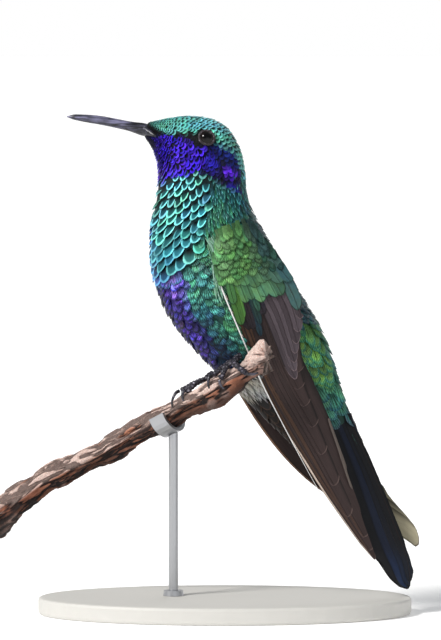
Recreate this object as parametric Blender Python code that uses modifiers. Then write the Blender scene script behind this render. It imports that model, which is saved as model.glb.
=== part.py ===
"""A perched violet-eared hummingbird, life size, on a cut length of twig over a plain display stand.

The bird faces -X, its left side is towards -Y and +Z is up. The origin is the centre of the
stand's underside. Lengths are in millimetres and become metres where a mesh is made.
"""

import math

import bmesh
import bpy
import numpy as np
from mathutils import Matrix, Vector
from mathutils.bvhtree import BVHTree

MM = 0.001  # one millimetre in Blender's metres
GAP = 0.3  # space between pieces that meet, mm

# Body sections from the bill's base to the tail's base. Each row is the dorsal point (x, z),
# the ventral point (x, z), the half width and the roll of the section about the body's line, in
# degrees. The roll turns the breast a little towards -Y while the head stays in profile.
BODY_SECTIONS = np.array(
    [
        (-17.85, 113, -18.5, 109.8, 1.5, 0),  # feathers close on the bill
        (-14.9, 114, -17.2, 108, 3.0, 0),
        (-12.2, 114.4, -16, 105.5, 4.8, 0),
        (-9, 114.9, -15.4, 102.3, 6.4, 0),  # forehead
        (-5, 114.7, -15.6, 99.1, 7.4, 0),  # crown, through the eye
        (-0.8, 113.5, -16.1, 96.1, 7.8, 1),
        (2.2, 110.6, -16.8, 92.9, 8.0, 3),
        (4.2, 106.5, -17.3, 89.4, 8.3, 5),  # nape
        (5, 101.7, -17.6, 85.7, 9.0, 8),
        (5.7, 95.5, -17.3, 81.1, 10.2, 11),  # shoulders
        (8.7, 89.5, -16.4, 75.4, 11.4, 14),
        (13.1, 81.7, -13.9, 69.4, 12.2, 15),  # deepest part of the breast
        (17.4, 74.6, -10.3, 64.1, 11.8, 15),
        (21.8, 67.9, -6, 59.1, 10.3, 15),  # belly
        (24.7, 61.5, -0.9, 54, 8.0, 13),
        (26.4, 55.6, 4.1, 49.4, 6.2, 10),  # vent
        (28.2, 49.7, 9.7, 43.8, 4.8, 7),
        (29.6, 44.6, 15.2, 38.7, 3.6, 5),  # tail's base
    ]
)
SECTION_POWER = 2.15  # above 2 the sections are a little fuller than ellipses
BODY_SIDES = 28
# Lengths of the body, as spans of the section number.
BODY_SPANS = {
    "head": (0.0, 6.4),
    "neck": (6.4, 9.1),
    "breast": (9.1, 11.4),
    "belly": (11.4, 14.3),
    "rump": (14.3, 17.0),
}
RINGS_PER_SECTION = 2.4
SPAN_GAP = 0.04  # half the cut between two lengths, in sections

EYE_RADIUS = 2.0
EYE_PLACE = (-4.4, 109.4)  # x, z of both eyes
EYE_DEPTH = 1.1  # from the eye's centre out to the head's surface

# The bill's middle line (x, z) with its half depth and half width, from base to tip.
BILL = np.array(
    [
        (-18.6, 111.55, 1.25, 1.3),
        (-20.5, 112, 1.17, 1.2),
        (-24.1, 112.8, 1.07, 1.1),
        (-28.7, 113.7, 1.02, 1.0),
        (-31.9, 114.1, 0.88, 0.9),
        (-34.4, 114.4, 0.62, 0.65),
        (-36.3, 114.5, 0.28, 0.3),
    ]
)
BILL_SLIT = 0.15  # the line between the closed mandibles
BILL_SIDES = 7  # points on each mandible's half round

# Each wing's leading and trailing edge (x, z), from the shoulder to the tip, and how far from
# the body's middle plane it lies where it has left the body. The left wing is folded; the right
# one is a little open and lower, and its tip lies beyond the tail.
LEFT_WING = {
    "lead": [
        (2.1, 90.9), (-1.1, 88.2), (-2.8, 84), (-1.8, 78.5), (0.5, 72.5), (4.6, 62.9),
        (8.5, 53.5), (14.9, 41.3), (21.3, 29.5), (26.9, 20.8), (30.8, 15.3), (32.9, 12.6),
    ],
    "trail": [
        (3.9, 91.2), (7.6, 89.6), (11, 85.4), (14, 80.4), (17.2, 74.8), (18.2, 67),
        (19.1, 57.4), (23.2, 47.3), (28, 33.9), (31.5, 22.9), (34.3, 14.8), (34.7, 12.8),
    ],
    "away": [3.0, 3.0, 3.0, 3.0, 5.0, 7.6, 8.2, 8.2, 7.6, 7.0, 6.6, 6.4],
}  # fmt: skip
RIGHT_WING = {
    "lead": [
        (-2.5, 86.6), (-6.2, 83.4), (-7.6, 78.3), (-6.7, 71.9), (-4.6, 65), (-0.9, 57),
        (3.8, 48.6), (8.5, 41.2), (14.6, 33.2), (22.6, 25.7), (33.8, 19.0), (41.1, 15.2),
        (44.7, 14.5),
    ],
    "trail": [
        (-0.2, 87.3), (3.4, 85.7), (8.5, 81.6), (13.6, 75.6), (18.2, 69.1), (22.3, 61.6),
        (26.7, 52.4), (30.3, 43.2), (32.9, 37), (36.3, 29.4), (39.5, 25), (43.9, 19.9),
        (45.1, 16.7),
    ],
    "away": [3.0, 3.0, 3.0, 3.0, 5.0, 7.6, 8.0, 8.0, 7.6, 7.2, 6.8, 6.6, 6.4],
}  # fmt: skip
WING_NODES = {"shoulder": (0.0, 2.6), "coverts": (2.6, 4.6), "primaries": (4.6, None)}
WING_THICKNESS = [1.1, 1.6, 1.8, 1.8, 1.6, 1.3, 1.15, 1.1]  # then as the last
WING_ACROSS = 6  # points from edge to edge
WING_STEP = 0.4  # along, in stations
WING_GAP = 0.025  # half the cut between two lengths, in stations

# The folded tail is a roof: its ridge runs down from the rump and each half slopes outwards.
TAIL_RIDGE = [
    (30.1, 43.7), (32.8, 38.1), (36.0, 31.2), (39.0, 23.8), (41.6, 17.0), (43.9, 9.7), (44.8, 6.6),
]  # fmt: skip
TAIL_LENGTH = 38.9
TAIL_HALF_WIDTH = (6.5, 9.8)  # along the slope, at the base and near the end
TAIL_SLOPE = 60.0  # degrees from level
TAIL_THICKNESS = 0.8
TAIL_ROLL = 4.0
TAIL_ACROSS = 6
TAIL_ALONG = 11

# The twig's middle line and radius, from its cut end to its broken end.
TWIG = np.array(
    [
        (-55.5, 14, 19.5, 3.5),  # cut end
        (-48, 12.8, 25.1, 3.45),
        (-40.7, 11.4, 30.4, 3.4),
        (-37, 10.6, 32.1, 3.1),  # an old leaf scar
        (-31.5, 9.2, 34.8, 2.95),
        (-24.5, 7, 38.6, 3.0),
        (-17.2, 4.6, 43.2, 3.5),  # a knot
        (-13, 2.6, 45.6, 2.9),
        (-8.5, -1, 48.2, 2.85),
        (-4, -5.6, 50.5, 2.9),
        (0, -9.9, 53.2, 2.9),
        (4.6, -13.4, 56.6, 2.5),
        (8.2, -15.4, 58.8, 2.45),
        (10.8, -16.6, 61.2, 1.4),  # broken end
    ]
)
TWIG_SIDES = 12
TWIG_RINGS = 44
TWIG_RIBS = 0.06  # height of the bark's ribs, as a share of the radius

TOE_RADIUS = 0.46
TARSUS_RADIUS = 0.55
CLAW_RADIUS = 0.4
CLAW_TIP_RADIUS = 0.2
# Toes grip the twig. Each is the distance along the twig from the heel and the angle round it
# from its top (positive towards -Y), at its knuckle and its tip, then the claw's reach beyond.
FEET = {
    "left": {
        "heel": (10.85, 2.0),
        "hip": (8.6, -5.5, 66.0),
        "toes": [
            ((-0.25, 34.0), (-0.5, 74.0), (-0.08, 34.0)),
            ((-0.5, 8.0), (-0.85, 30.0), (-0.2, 52.0)),
            ((-0.25, -28.0), (-0.45, -72.0), (-0.1, -34.0)),
            ((0.2, 56.0), (0.5, 104.0), (0.45, 22.0)),
        ],
    },
    "right": {
        "heel": (9.2, -4.0),
        "hip": (2.0, -2.0, 60.5),
        "toes": [
            ((-0.6, 12.0), (-1.1, 20.0), (-0.32, 60.0)),
            ((-0.4, 30.0), (-0.72, 42.0), (-0.12, 34.0)),
            ((-0.35, -24.0), (-0.7, -64.0), (-0.1, -38.0)),
            ((0.25, -22.0), (0.4, -72.0), (0.1, -40.0)),
        ],
    },
}
TOE_SIDES = 8

BASE_SIZE = (86.0, 52.0, 4.0)
BASE_BEVEL = 0.7
ROD_RADIUS = 1.1
ROD_X = -13.5
ROD_CLEARANCE = 0.05
CRADLE_WALL = 0.8
CRADLE_LENGTH = 4.0
CRADLE_REACH = 95.0  # degrees round the twig on each side of its underside

MATERIALS = {
    "crown": ((0.10, 0.42, 0.36), 0.4, 0.5),
    "throat": ((0.07, 0.40, 0.38), 0.35, 0.6),
    "green": ((0.10, 0.30, 0.12), 0.45, 0.4),
    "flight": ((0.09, 0.06, 0.06), 0.5, 0.0),
    "tail": ((0.02, 0.04, 0.07), 0.35, 0.3),
    "horn": ((0.05, 0.05, 0.06), 0.35, 0.0),
    "eye": ((0.01, 0.008, 0.008), 0.08, 0.0),
    "bark": ((0.45, 0.26, 0.18), 0.8, 0.0),
    "stand_base": ((0.05, 0.05, 0.055), 0.45, 0.0),
    "stand_metal": ((0.35, 0.33, 0.30), 0.35, 1.0),
}


def clear_scene():
    """Removes every object, so that the script can run in any file."""
    for obj in list(bpy.data.objects):
        bpy.data.objects.remove(obj)


def material(name):
    """The Principled material of that name, made on its first use."""
    found = bpy.data.materials.get(name)
    if found:
        return found
    colour, roughness, metallic = MATERIALS[name]
    made = bpy.data.materials.new(name)
    made.use_nodes = True
    shader = made.node_tree.nodes["Principled BSDF"]
    shader.inputs["Base Color"].default_value = (*colour, 1.0)
    shader.inputs["Roughness"].default_value = roughness
    shader.inputs["Metallic"].default_value = metallic
    return made


def collection(name):
    """The collection of that name under the scene, made on its first use."""
    found = bpy.data.collections.get(name)
    if not found:
        found = bpy.data.collections.new(name)
        bpy.context.scene.collection.children.link(found)
    return found


def place(mesh, name, look, group="hummingbird"):
    """Links a finished mesh as the object of that name, smooth except at sharp edges."""
    mesh.materials.append(material(look))
    mesh.shade_smooth()
    mesh.set_sharp_from_angle(angle=math.radians(40))
    obj = bpy.data.objects.new(name, mesh)
    collection(group).objects.link(obj)
    return obj


def spline(points, at):
    """Catmull-Rom curve through the rows of points, read at station numbers."""
    points = np.asarray(points, float)
    padded = np.vstack([2 * points[0] - points[1], points, 2 * points[-1] - points[-2]])
    at = np.clip(np.atleast_1d(at), 0, len(points) - 1)
    first = np.minimum(at.astype(int), len(points) - 2)
    t = (at - first)[:, None]
    p0, p1, p2, p3 = (padded[first + k] for k in range(4))
    bend = (2 * p0 - 5 * p1 + 4 * p2 - p3) * t + (3 * p1 - p0 - 3 * p2 + p3) * t * t
    return p1 + 0.5 * t * ((p2 - p0) + bend)


def loft(rings):
    """A closed mesh through rings of equal count (rings, sides, 3), in mm, with flat-capped ends."""
    rings = np.asarray(rings, float)
    made = bmesh.new()
    rows = [[made.verts.new(Vector(p) * MM) for p in ring] for ring in rings]
    sides = len(rows[0])
    for near, far in zip(rows, rows[1:]):
        for i in range(sides):
            j = (i + 1) % sides
            made.faces.new((near[i], near[j], far[j], far[i]))
    made.faces.new(rows[0])
    made.faces.new(rows[-1])
    bmesh.ops.triangulate(made, faces=[f for f in made.faces if len(f.verts) > 4])
    bmesh.ops.recalc_face_normals(made, faces=made.faces)
    mesh = bpy.data.meshes.new("loft")
    made.to_mesh(mesh)
    made.free()
    return mesh


def rounded(angle, power):
    """Cosine and sine of an angle, eased so that they trace a superellipse."""
    c, s = np.cos(angle), np.sin(angle)
    return np.sign(c) * abs(c) ** (2 / power), np.sign(s) * abs(s) ** (2 / power)


def body_rings(stations):
    """Rings (stations, sides, 3) of the body, each from its back round by its left side."""
    rows = spline(BODY_SECTIONS, stations)
    dorsal, ventral = rows[:, 0:2], rows[:, 2:4]
    centre = (dorsal + ventral) / 2
    radius = np.linalg.norm(dorsal - ventral, axis=1) / 2
    up_xz = (dorsal - ventral) / (2 * radius[:, None])
    roll = np.radians(rows[:, 5])
    flat = np.zeros(len(rows))
    up = np.column_stack([up_xz[:, 0], flat, up_xz[:, 1]])
    left = np.column_stack([flat, flat - 1, flat])
    rolled_up = up * np.cos(roll)[:, None] - left * np.sin(roll)[:, None]
    rolled_left = left * np.cos(roll)[:, None] + up * np.sin(roll)[:, None]
    c, s = rounded(np.linspace(0, 2 * np.pi, BODY_SIDES, endpoint=False), SECTION_POWER)
    middle = np.column_stack([centre[:, 0], flat, centre[:, 1]])
    return (
        middle[:, None]
        + (radius[:, None] * c)[..., None] * rolled_up[:, None]
        + (rows[:, 4, None] * s)[..., None] * rolled_left[:, None]
    )


def span_stations(start, end, per_station):
    """Evenly spaced stations from start to end, about per_station to each whole one."""
    return np.linspace(start, end, max(3, round((end - start) * per_station) + 1))


def tree_of(mesh):
    """A mesh's faces as a tree that rays can be cast at, in metres."""
    return BVHTree.FromPolygons(
        [v.co for v in mesh.vertices], [tuple(p.vertices) for p in mesh.polygons]
    )


def surface_y(tree, x, z, side):
    """How far out (mm, signed) the body reaches on that side at x, z, or None beside it."""
    start = Vector((x, side * 80, z)) * MM
    hit = tree.ray_cast(start, Vector((0, -side, 0)))[0]
    return None if hit is None else hit.y / MM


def build_body():
    """The head, neck, breast, belly and rump, one loft parted by thin cuts. Returns its tree."""
    looks = {
        "head": "crown", "neck": "throat", "breast": "throat", "belly": "green", "rump": "green",
    }  # fmt: skip
    last = len(BODY_SECTIONS) - 1
    for name, (start, end) in BODY_SPANS.items():
        start += SPAN_GAP if start > 0 else 0
        end -= SPAN_GAP if end < last else 0
        rings = body_rings(span_stations(start, end, RINGS_PER_SECTION))
        place(loft(rings), name, looks[name])
    return tree_of(loft(body_rings(span_stations(0, last, RINGS_PER_SECTION))))


def subtract(obj, cutters):
    """Cuts each cutter from the object with an exact Boolean modifier."""
    for cutter in cutters:
        cut = obj.modifiers.new(cutter.name, "BOOLEAN")
        cut.operation = "DIFFERENCE"
        cut.object = cutter


def ball(name, centre, radius, look, group="hummingbird", segments=16, rings=10):
    """A sphere about centre, with its poles to the two sides."""
    made = bmesh.new()
    bmesh.ops.create_uvsphere(
        made, u_segments=segments, v_segments=rings, radius=radius * MM
    )
    mesh = bpy.data.meshes.new(name)
    made.to_mesh(mesh)
    made.free()
    obj = place(mesh, name, look, group)
    obj.location = Vector(centre) * MM
    obj.rotation_euler = (math.radians(90), 0, 0)
    return obj


def build_eyes(tree):
    """Both eyes, each set in a socket cut from the head."""
    cutters = []
    for name, side in (("left", -1), ("right", 1)):
        x, z = EYE_PLACE
        y = surface_y(tree, x, z, side) - side * EYE_DEPTH
        ball(f"eye_{name}", (x, y, z), EYE_RADIUS, "eye")
        socket = ball(
            f"socket_{name}", (x, y, z), EYE_RADIUS + GAP, "eye", group="cutters"
        )
        socket.hide_render = True
        socket.display_type = "WIRE"
        cutters.append(socket)
    subtract(bpy.data.objects["head"], cutters)


def build_bill():
    """The upper and lower mandibles: two half rounds along one curved line, nearly closed."""
    rows = spline(BILL, span_stations(0, len(BILL) - 1, 2.2))
    along = np.gradient(rows[:, :2], axis=0)
    along /= np.linalg.norm(along, axis=1)[:, None]
    up = np.column_stack([along[:, 1], 0 * along[:, 0], -along[:, 0]])
    middle = np.column_stack([rows[:, 0], 0 * rows[:, 0], rows[:, 1]])
    left = np.array([0.0, -1.0, 0.0])
    turn = np.linspace(0, np.pi, BILL_SIDES)
    for name, sign in (("bill_upper", 1), ("bill_lower", -1)):
        high = sign * (np.sin(turn) * rows[:, 2:3] * 0.94 + BILL_SLIT / 2)
        out = np.cos(turn) * rows[:, 3:4]
        rings = middle[:, None] + high[..., None] * up[:, None] + out[..., None] * left
        place(loft(rings), name, "horn")


def wing_sheet(tree, edges, side, stations):
    """The inner surface (stations, across, 3) of a wing: on the body's side, then clear of it."""
    lead, trail = spline(edges["lead"], stations), spline(edges["trail"], stations)
    away = spline(np.array(edges["away"])[:, None], stations)[:, 0]
    across = np.linspace(0, 1, WING_ACROSS)
    flat = lead[:, None] + (trail - lead)[:, None] * across[:, None]
    out = np.empty(flat.shape[:2])
    for i, row in enumerate(flat):
        for j, (x, z) in enumerate(row):
            y = surface_y(tree, x, z, side)
            out[i, j] = max(away[i], 0 if y is None else side * y + GAP)
    # Widen each high spot, then blur, so that the smoothed sheet still clears the body.
    for _ in range(2):
        padded = np.pad(out, 1, mode="edge")
        shifts = [
            padded[i : i + out.shape[0], j : j + out.shape[1]]
            for i in range(3)
            for j in range(3)
        ]
        out = np.maximum(out, np.mean(shifts, axis=0))
    return np.dstack([flat[..., 0], side * out, flat[..., 1]])


def build_wing(tree, name, edges, side):
    """One wing, a thin sheet with rounded edges, parted along its length by thin cuts."""
    last = len(edges["lead"]) - 1
    stations = span_stations(0, last, 4)
    sheet = wing_sheet(tree, edges, side, stations)
    thickness = np.interp(stations, range(len(WING_THICKNESS)), WING_THICKNESS)
    across = np.linspace(-1, 1, WING_ACROSS)
    swell = 0.45 + 0.55 * np.sqrt(1 - across**4)
    outward = np.array([0.0, side, 0.0])
    for part, (start, end) in WING_NODES.items():
        start += WING_GAP if start > 0 else 0
        end = last if end is None else end - WING_GAP
        wanted = span_stations(start, end, 1 / WING_STEP)
        inner = np.array(
            [
                [np.interp(wanted, stations, sheet[:, j, k]) for k in range(3)]
                for j in range(WING_ACROSS)
            ]
        ).transpose(2, 0, 1)
        thick = np.interp(wanted, stations, thickness)[:, None] * swell
        outer = inner + thick[..., None] * outward
        rings = np.concatenate([inner, outer[:, ::-1]], axis=1)
        look = "flight" if part == "primaries" else "green"
        place(loft(rings), f"wing_{name}_{part}", look)


def build_tail():
    """The two sloping halves of the folded tail, which meet along its ridge."""
    ridge = spline(TAIL_RIDGE, np.linspace(0, len(TAIL_RIDGE) - 1, 40))
    run = np.concatenate([[0], np.cumsum(np.linalg.norm(np.diff(ridge, axis=0), axis=1))])
    down = (ridge[-1] - ridge[0]) / np.linalg.norm(ridge[-1] - ridge[0])
    roll, slope = math.radians(TAIL_ROLL), math.radians(TAIL_SLOPE)
    up = np.array([-down[1], 0.0, down[0]])
    left = np.array([0.0, -1.0, 0.0])
    rolled_up = up * math.cos(roll) - left * math.sin(roll)
    rolled_left = left * math.cos(roll) + up * math.sin(roll)
    across = np.linspace(0, 1, TAIL_ACROSS)
    # The end is longest just beside the ridge and is cut back in a curve towards the eave.
    past = np.clip(across - 0.325, 0, None)
    short = np.clip(0.325 - across, 0, None) / 0.325
    reach = np.maximum(TAIL_LENGTH - 30.0 * past**1.74 - 2.0 * short**2, 28.5)
    # The undersides start further out, so that the halves' thicknesses don't cross at the ridge.
    mitre = (GAP / 2 + TAIL_THICKNESS * math.sin(slope)) / math.cos(slope)
    for name, side in (("left", 1), ("right", -1)):
        outwards = rolled_left * side * math.cos(slope) - rolled_up * math.sin(slope)
        inwards = -rolled_up * math.cos(slope) - rolled_left * side * math.sin(slope)
        rings = []
        for share in np.linspace(0, 1, TAIL_ALONG):
            at = share * reach
            line = np.column_stack([np.interp(at, run, ridge[:, k]) for k in (0, 1)])
            width = TAIL_HALF_WIDTH[0] + (TAIL_HALF_WIDTH[1] - TAIL_HALF_WIDTH[0]) * share
            line = np.column_stack([line[:, 0], 0 * at, line[:, 1]])
            top = line + (GAP + (width - GAP) * across)[:, None] * outwards
            under = line + (mitre + (width - mitre) * across)[:, None] * outwards
            rings.append(np.vstack([top, (under + TAIL_THICKNESS * inwards)[::-1]]))
        place(loft(rings), f"tail_{name}", "tail")


def twig_frames(stations):
    """Middle, radius and the unit axes along, up and near (-Y side) of the twig."""
    rows = spline(TWIG, stations)
    ahead = spline(TWIG, np.asarray(stations) + 0.05)[:, :3]
    behind = spline(TWIG, np.asarray(stations) - 0.05)[:, :3]
    along = (ahead - behind) / np.linalg.norm(ahead - behind, axis=1)[:, None]
    near = np.cross(along, (0.0, 0.0, 1.0))
    near /= np.linalg.norm(near, axis=1)[:, None]
    up = np.cross(near, along)
    return rows[:, :3], rows[:, 3], along, up, near


def on_twig(station, degrees, lift):
    """The point that height above the twig's bark, at an angle from its top towards -Y."""
    middle, radius, _, up, near = (part[0] for part in twig_frames([station]))
    turn = math.radians(degrees)
    return middle + (radius + lift) * (math.cos(turn) * up + math.sin(turn) * near)


def build_twig():
    """The perch, a ribbed stem with a knot and a leaf scar that narrows to a broken end."""
    stations = np.linspace(0, len(TWIG) - 1, TWIG_RINGS)
    middle, radius, _, up, near = twig_frames(stations)
    turn = np.linspace(0, 2 * np.pi, TWIG_SIDES, endpoint=False)
    ribs = 1 - TWIG_RIBS * (0.5 + 0.5 * np.cos(5 * turn + 0.35 * stations[:, None]))
    reach = (radius[:, None] * ribs)[..., None]
    rings = middle[:, None] + reach * (
        np.cos(turn)[:, None] * up[:, None] + np.sin(turn)[:, None] * near[:, None]
    )
    place(loft(rings), "perch_twig", "bark")


def tube(points, radii, sides=TOE_SIDES):
    """Rings of a round rod that follows points (mm) with a radius at each of them."""
    points, radii = np.asarray(points, float), np.asarray(radii, float)
    along = np.gradient(points, axis=0)
    along /= np.linalg.norm(along, axis=1)[:, None]
    aside = np.cross(along, (0.31, 0.9, 0.3))
    aside /= np.linalg.norm(aside, axis=1)[:, None]
    upper = np.cross(aside, along)
    turn = np.linspace(0, 2 * np.pi, sides, endpoint=False)
    round_it = np.cos(turn)[:, None] * aside[:, None] + np.sin(turn)[:, None] * upper[:, None]
    return points[:, None] + radii[:, None, None] * round_it


def join(name, meshes, look):
    """The meshes as one body, by exact Boolean unions that are applied at once."""
    base = place(meshes[0], name, look)
    for i, mesh in enumerate(meshes[1:]):
        helper = bpy.data.objects.new(f"{name}_add_{i}", mesh)
        collection("cutters").objects.link(helper)
        add = base.modifiers.new("add", "BOOLEAN")
        add.operation = "UNION"
        add.object = helper
        bpy.context.view_layer.update()
        evaluated = base.evaluated_get(bpy.context.evaluated_depsgraph_get())
        joined = bpy.data.meshes.new_from_object(evaluated)
        base.modifiers.remove(add)
        bpy.data.objects.remove(helper)
        base.data = joined
    return base


def build_foot(tree, name):
    """A tarsus that comes out of the belly and four toes that grip the twig, with their claws."""
    foot = FEET[name]
    station, tilt = foot["heel"]
    heel = on_twig(station, tilt, TOE_RADIUS + GAP + 0.35)
    hip = np.array(foot["hip"])
    toward_hip = (hip - heel) / np.linalg.norm(hip - heel)
    steps = np.arange(0.0, np.linalg.norm(hip - heel), 0.05)
    room = [tree.find_nearest(Vector(heel + t * toward_hip) * MM)[3] / MM for t in steps]
    rise = steps[np.argmax(np.array(room) < TARSUS_RADIUS + GAP) - 1]
    shaft = [heel - 0.2 * toward_hip, heel + 0.5 * rise * toward_hip, heel + rise * toward_hip]
    pieces = [loft(tube(shaft, [TARSUS_RADIUS * 1.25, TARSUS_RADIUS, TARSUS_RADIUS]))]
    for number, (knuckle, tip, claw) in enumerate(foot["toes"], start=1):
        lift = TOE_RADIUS + GAP
        line = [
            heel,
            on_twig(station + knuckle[0] * 0.5, knuckle[1] * 0.6, lift + 0.35),
            on_twig(station + knuckle[0], knuckle[1], lift + 0.3),
            on_twig(station + tip[0], tip[1], lift),
        ]
        smooth_line = spline(line, np.linspace(0, 3, 8))
        swell = 1 + 0.12 * np.cos(np.linspace(0, 3, 8) * 2 * np.pi)
        pieces.append(loft(tube(smooth_line, TOE_RADIUS * swell)))
        grip = [
            on_twig(station + tip[0] + claw[0] * t, tip[1] + claw[1] * t, lift + high)
            for t, high in ((0.0, 0.0), (0.35, 0.55), (0.75, 0.4), (1.1, -0.2))
        ]
        curve = spline(grip, np.linspace(0, 3, 25))
        gone = np.linalg.norm(curve - curve[0], axis=1)
        curve = curve[gone > CLAW_RADIUS + GAP][::3]
        narrow = np.linspace(CLAW_RADIUS, CLAW_TIP_RADIUS, len(curve))
        place(loft(tube(curve, narrow, 6)), f"claw_{name}_{number}", "horn")
    join(f"leg_{name}", pieces, "horn")


def build_stand():
    """An oval base, one rod and a cradle that holds the twig from below."""
    length, depth, height = BASE_SIZE
    bpy.ops.mesh.primitive_cylinder_add(vertices=56, radius=0.5, depth=1)
    base = bpy.context.object
    base.name = base.data.name = "stand_base"
    size = Matrix.Diagonal((length * MM, depth * MM, height * MM, 1))
    base.data.transform(Matrix.Translation((0, 0, height / 2 * MM)) @ size)
    base.data.materials.append(material("stand_base"))
    edge = base.modifiers.new("edge", "BEVEL")
    edge.width = BASE_BEVEL * MM
    edge.segments = 2
    for old in list(base.users_collection):
        old.objects.unlink(base)
    collection("hummingbird").objects.link(base)

    station = float(np.interp(ROD_X, TWIG[:, 0], range(len(TWIG))))
    middle, _, along, up, near = (part[0] for part in twig_frames([station]))
    radius = twig_frames(station + np.linspace(-0.5, 0.5, 5))[1].max()
    turns = np.radians(np.linspace(180 - CRADLE_REACH, 180 + CRADLE_REACH, 15))
    rings = []
    for turn in turns:
        out = math.cos(turn) * up + math.sin(turn) * near
        inner, outer = radius + GAP, radius + GAP + CRADLE_WALL
        rings.append(
            [
                middle + out * reach + along * end * CRADLE_LENGTH / 2
                for reach, end in ((inner, -1), (inner, 1), (outer, 1), (outer, -1))
            ]
        )
    place(loft(rings), "stand_cradle", "stand_metal")

    # The rod ends in a slant that follows the cradle's underside.
    under = middle - up * (radius + GAP + CRADLE_WALL)
    turn = np.linspace(0, 2 * np.pi, 20, endpoint=False)
    circle = np.column_stack([np.cos(turn), np.sin(turn), 0 * turn])
    foot = np.array([under[0], under[1], height + ROD_CLEARANCE])
    shoulder = foot + (0, 0, 1.2)
    top = under + ROD_RADIUS * circle
    top[:, 2] = under[2] - ((top - under) @ up + ROD_CLEARANCE) / up[2]
    rings = [
        foot + 2.2 * ROD_RADIUS * circle,
        shoulder + 2.0 * ROD_RADIUS * circle,
        shoulder + ROD_RADIUS * circle,
        top,
    ]
    place(loft(rings), "stand_rod", "stand_metal")


def main():
    clear_scene()
    tree = build_body()
    build_eyes(tree)
    build_bill()
    build_wing(tree, "left", LEFT_WING, -1)
    build_wing(tree, "right", RIGHT_WING, 1)
    build_tail()
    build_twig()
    for name in FEET:
        build_foot(tree, name)
    build_stand()


if __name__ == "__main__":
    main()
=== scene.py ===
"""Looks of a perched violet-eared hummingbird on a cut twig and a display stand.

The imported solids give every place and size. One skin covers the bird just inside them and
its feathers are thin solid vanes laid over that skin. Lengths are in metres.
"""

import logging
import math
from dataclasses import dataclass, field
from enum import Enum
from typing import Optional, Sequence

import bpy  # noqa: E402
import numpy as np  # noqa: E402
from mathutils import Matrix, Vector  # noqa: E402
from mathutils.bvhtree import BVHTree  # noqa: E402
from mathutils.kdtree import KDTree  # noqa: E402


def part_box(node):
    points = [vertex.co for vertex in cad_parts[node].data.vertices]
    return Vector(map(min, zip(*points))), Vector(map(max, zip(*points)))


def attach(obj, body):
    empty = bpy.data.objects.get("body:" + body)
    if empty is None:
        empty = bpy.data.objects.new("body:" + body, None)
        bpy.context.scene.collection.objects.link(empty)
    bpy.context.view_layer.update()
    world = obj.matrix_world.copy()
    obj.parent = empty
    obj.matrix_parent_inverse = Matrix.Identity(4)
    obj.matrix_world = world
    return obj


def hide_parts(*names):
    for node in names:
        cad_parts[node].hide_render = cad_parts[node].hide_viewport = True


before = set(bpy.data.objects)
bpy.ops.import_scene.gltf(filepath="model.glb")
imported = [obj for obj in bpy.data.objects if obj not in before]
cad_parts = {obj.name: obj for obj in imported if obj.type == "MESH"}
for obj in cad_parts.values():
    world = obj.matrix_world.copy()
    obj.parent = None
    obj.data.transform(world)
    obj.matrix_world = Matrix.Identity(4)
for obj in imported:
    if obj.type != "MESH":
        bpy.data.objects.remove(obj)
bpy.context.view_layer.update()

MM = 0.001
# Further out than any solid reaches.
FAR = 200 * MM
UP = np.array([0.0, 0.0, 1.0])
SIDES = ("left", "right")
Array = np.ndarray
LOG = logging.getLogger("hummingbird")


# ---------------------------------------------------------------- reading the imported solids


def node_arrays(name: str) -> tuple[Array, Array]:
    """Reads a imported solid.

    Args:
        name: The solid's node name.

    Returns:
        Its points (n, 3) in metres and its triangles (m, 3).
    """
    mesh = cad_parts[name].data
    points = np.empty(len(mesh.vertices) * 3)
    mesh.vertices.foreach_get("co", points)
    mesh.calc_loop_triangles()
    corners = np.empty(len(mesh.loop_triangles) * 3, np.int64)
    mesh.loop_triangles.foreach_get("vertices", corners)
    return points.reshape(-1, 3), corners.reshape(-1, 3)


def tree_of(*names: str) -> BVHTree:
    """Makes one ray-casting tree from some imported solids.

    Args:
        names: The solids' node names.

    Returns:
        The tree of all their triangles.
    """
    points: list[Array] = []
    faces: list[Array] = []
    count = 0
    for name in names:
        some, triangles = node_arrays(name)
        points.append(some)
        faces.append(triangles + count)
        count += len(some)
    return BVHTree.FromPolygons(np.concatenate(points).tolist(), np.concatenate(faces).tolist())


def unit(vectors: Array) -> Array:
    """Scales vectors on the last axis to length one."""
    return vectors / np.maximum(np.linalg.norm(vectors, axis=-1, keepdims=True), 1e-12)


def facets(name: str) -> tuple[Array, Array, Array]:
    """Gives the middles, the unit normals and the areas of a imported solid's triangles."""
    points, faces = node_arrays(name)
    corners = points[faces]
    cross = np.cross(corners[:, 1] - corners[:, 0], corners[:, 2] - corners[:, 0])
    return corners.mean(axis=1), unit(cross), np.linalg.norm(cross, axis=1) / 2


def solid_centre(name: str) -> Array:
    """Gives the area-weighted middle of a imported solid's surface."""
    middles, _, area = facets(name)
    return area @ middles / area.sum()


def flat_cap(name: str, towards: Array) -> tuple[Array, Array]:
    """Finds the largest flat end of a solid that faces a given way.

    Faces whose normals point within about 45 degrees of the way are grouped by their plane,
    and the group with the most area is the cap.

    Args:
        name: The solid's node name.
        towards: The way the cap roughly faces.

    Returns:
        The cap's middle and its outward normal.
    """
    middles, normals, area = facets(name)
    facing = np.flatnonzero((normals @ unit(towards) > 0.7) & (area > 0))
    offset = (middles[facing] * normals[facing]).sum(axis=1) / MM
    keys = np.round(np.column_stack([normals[facing], offset]) * [25, 25, 25, 4]).astype(int)
    _, group = np.unique(keys, axis=0, return_inverse=True)
    share = np.bincount(group.ravel(), area[facing])
    chosen = facing[group.ravel() == np.argmax(share)]
    weight = area[chosen] / area[chosen].sum()
    return weight @ middles[chosen], unit(weight @ normals[chosen])


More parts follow.
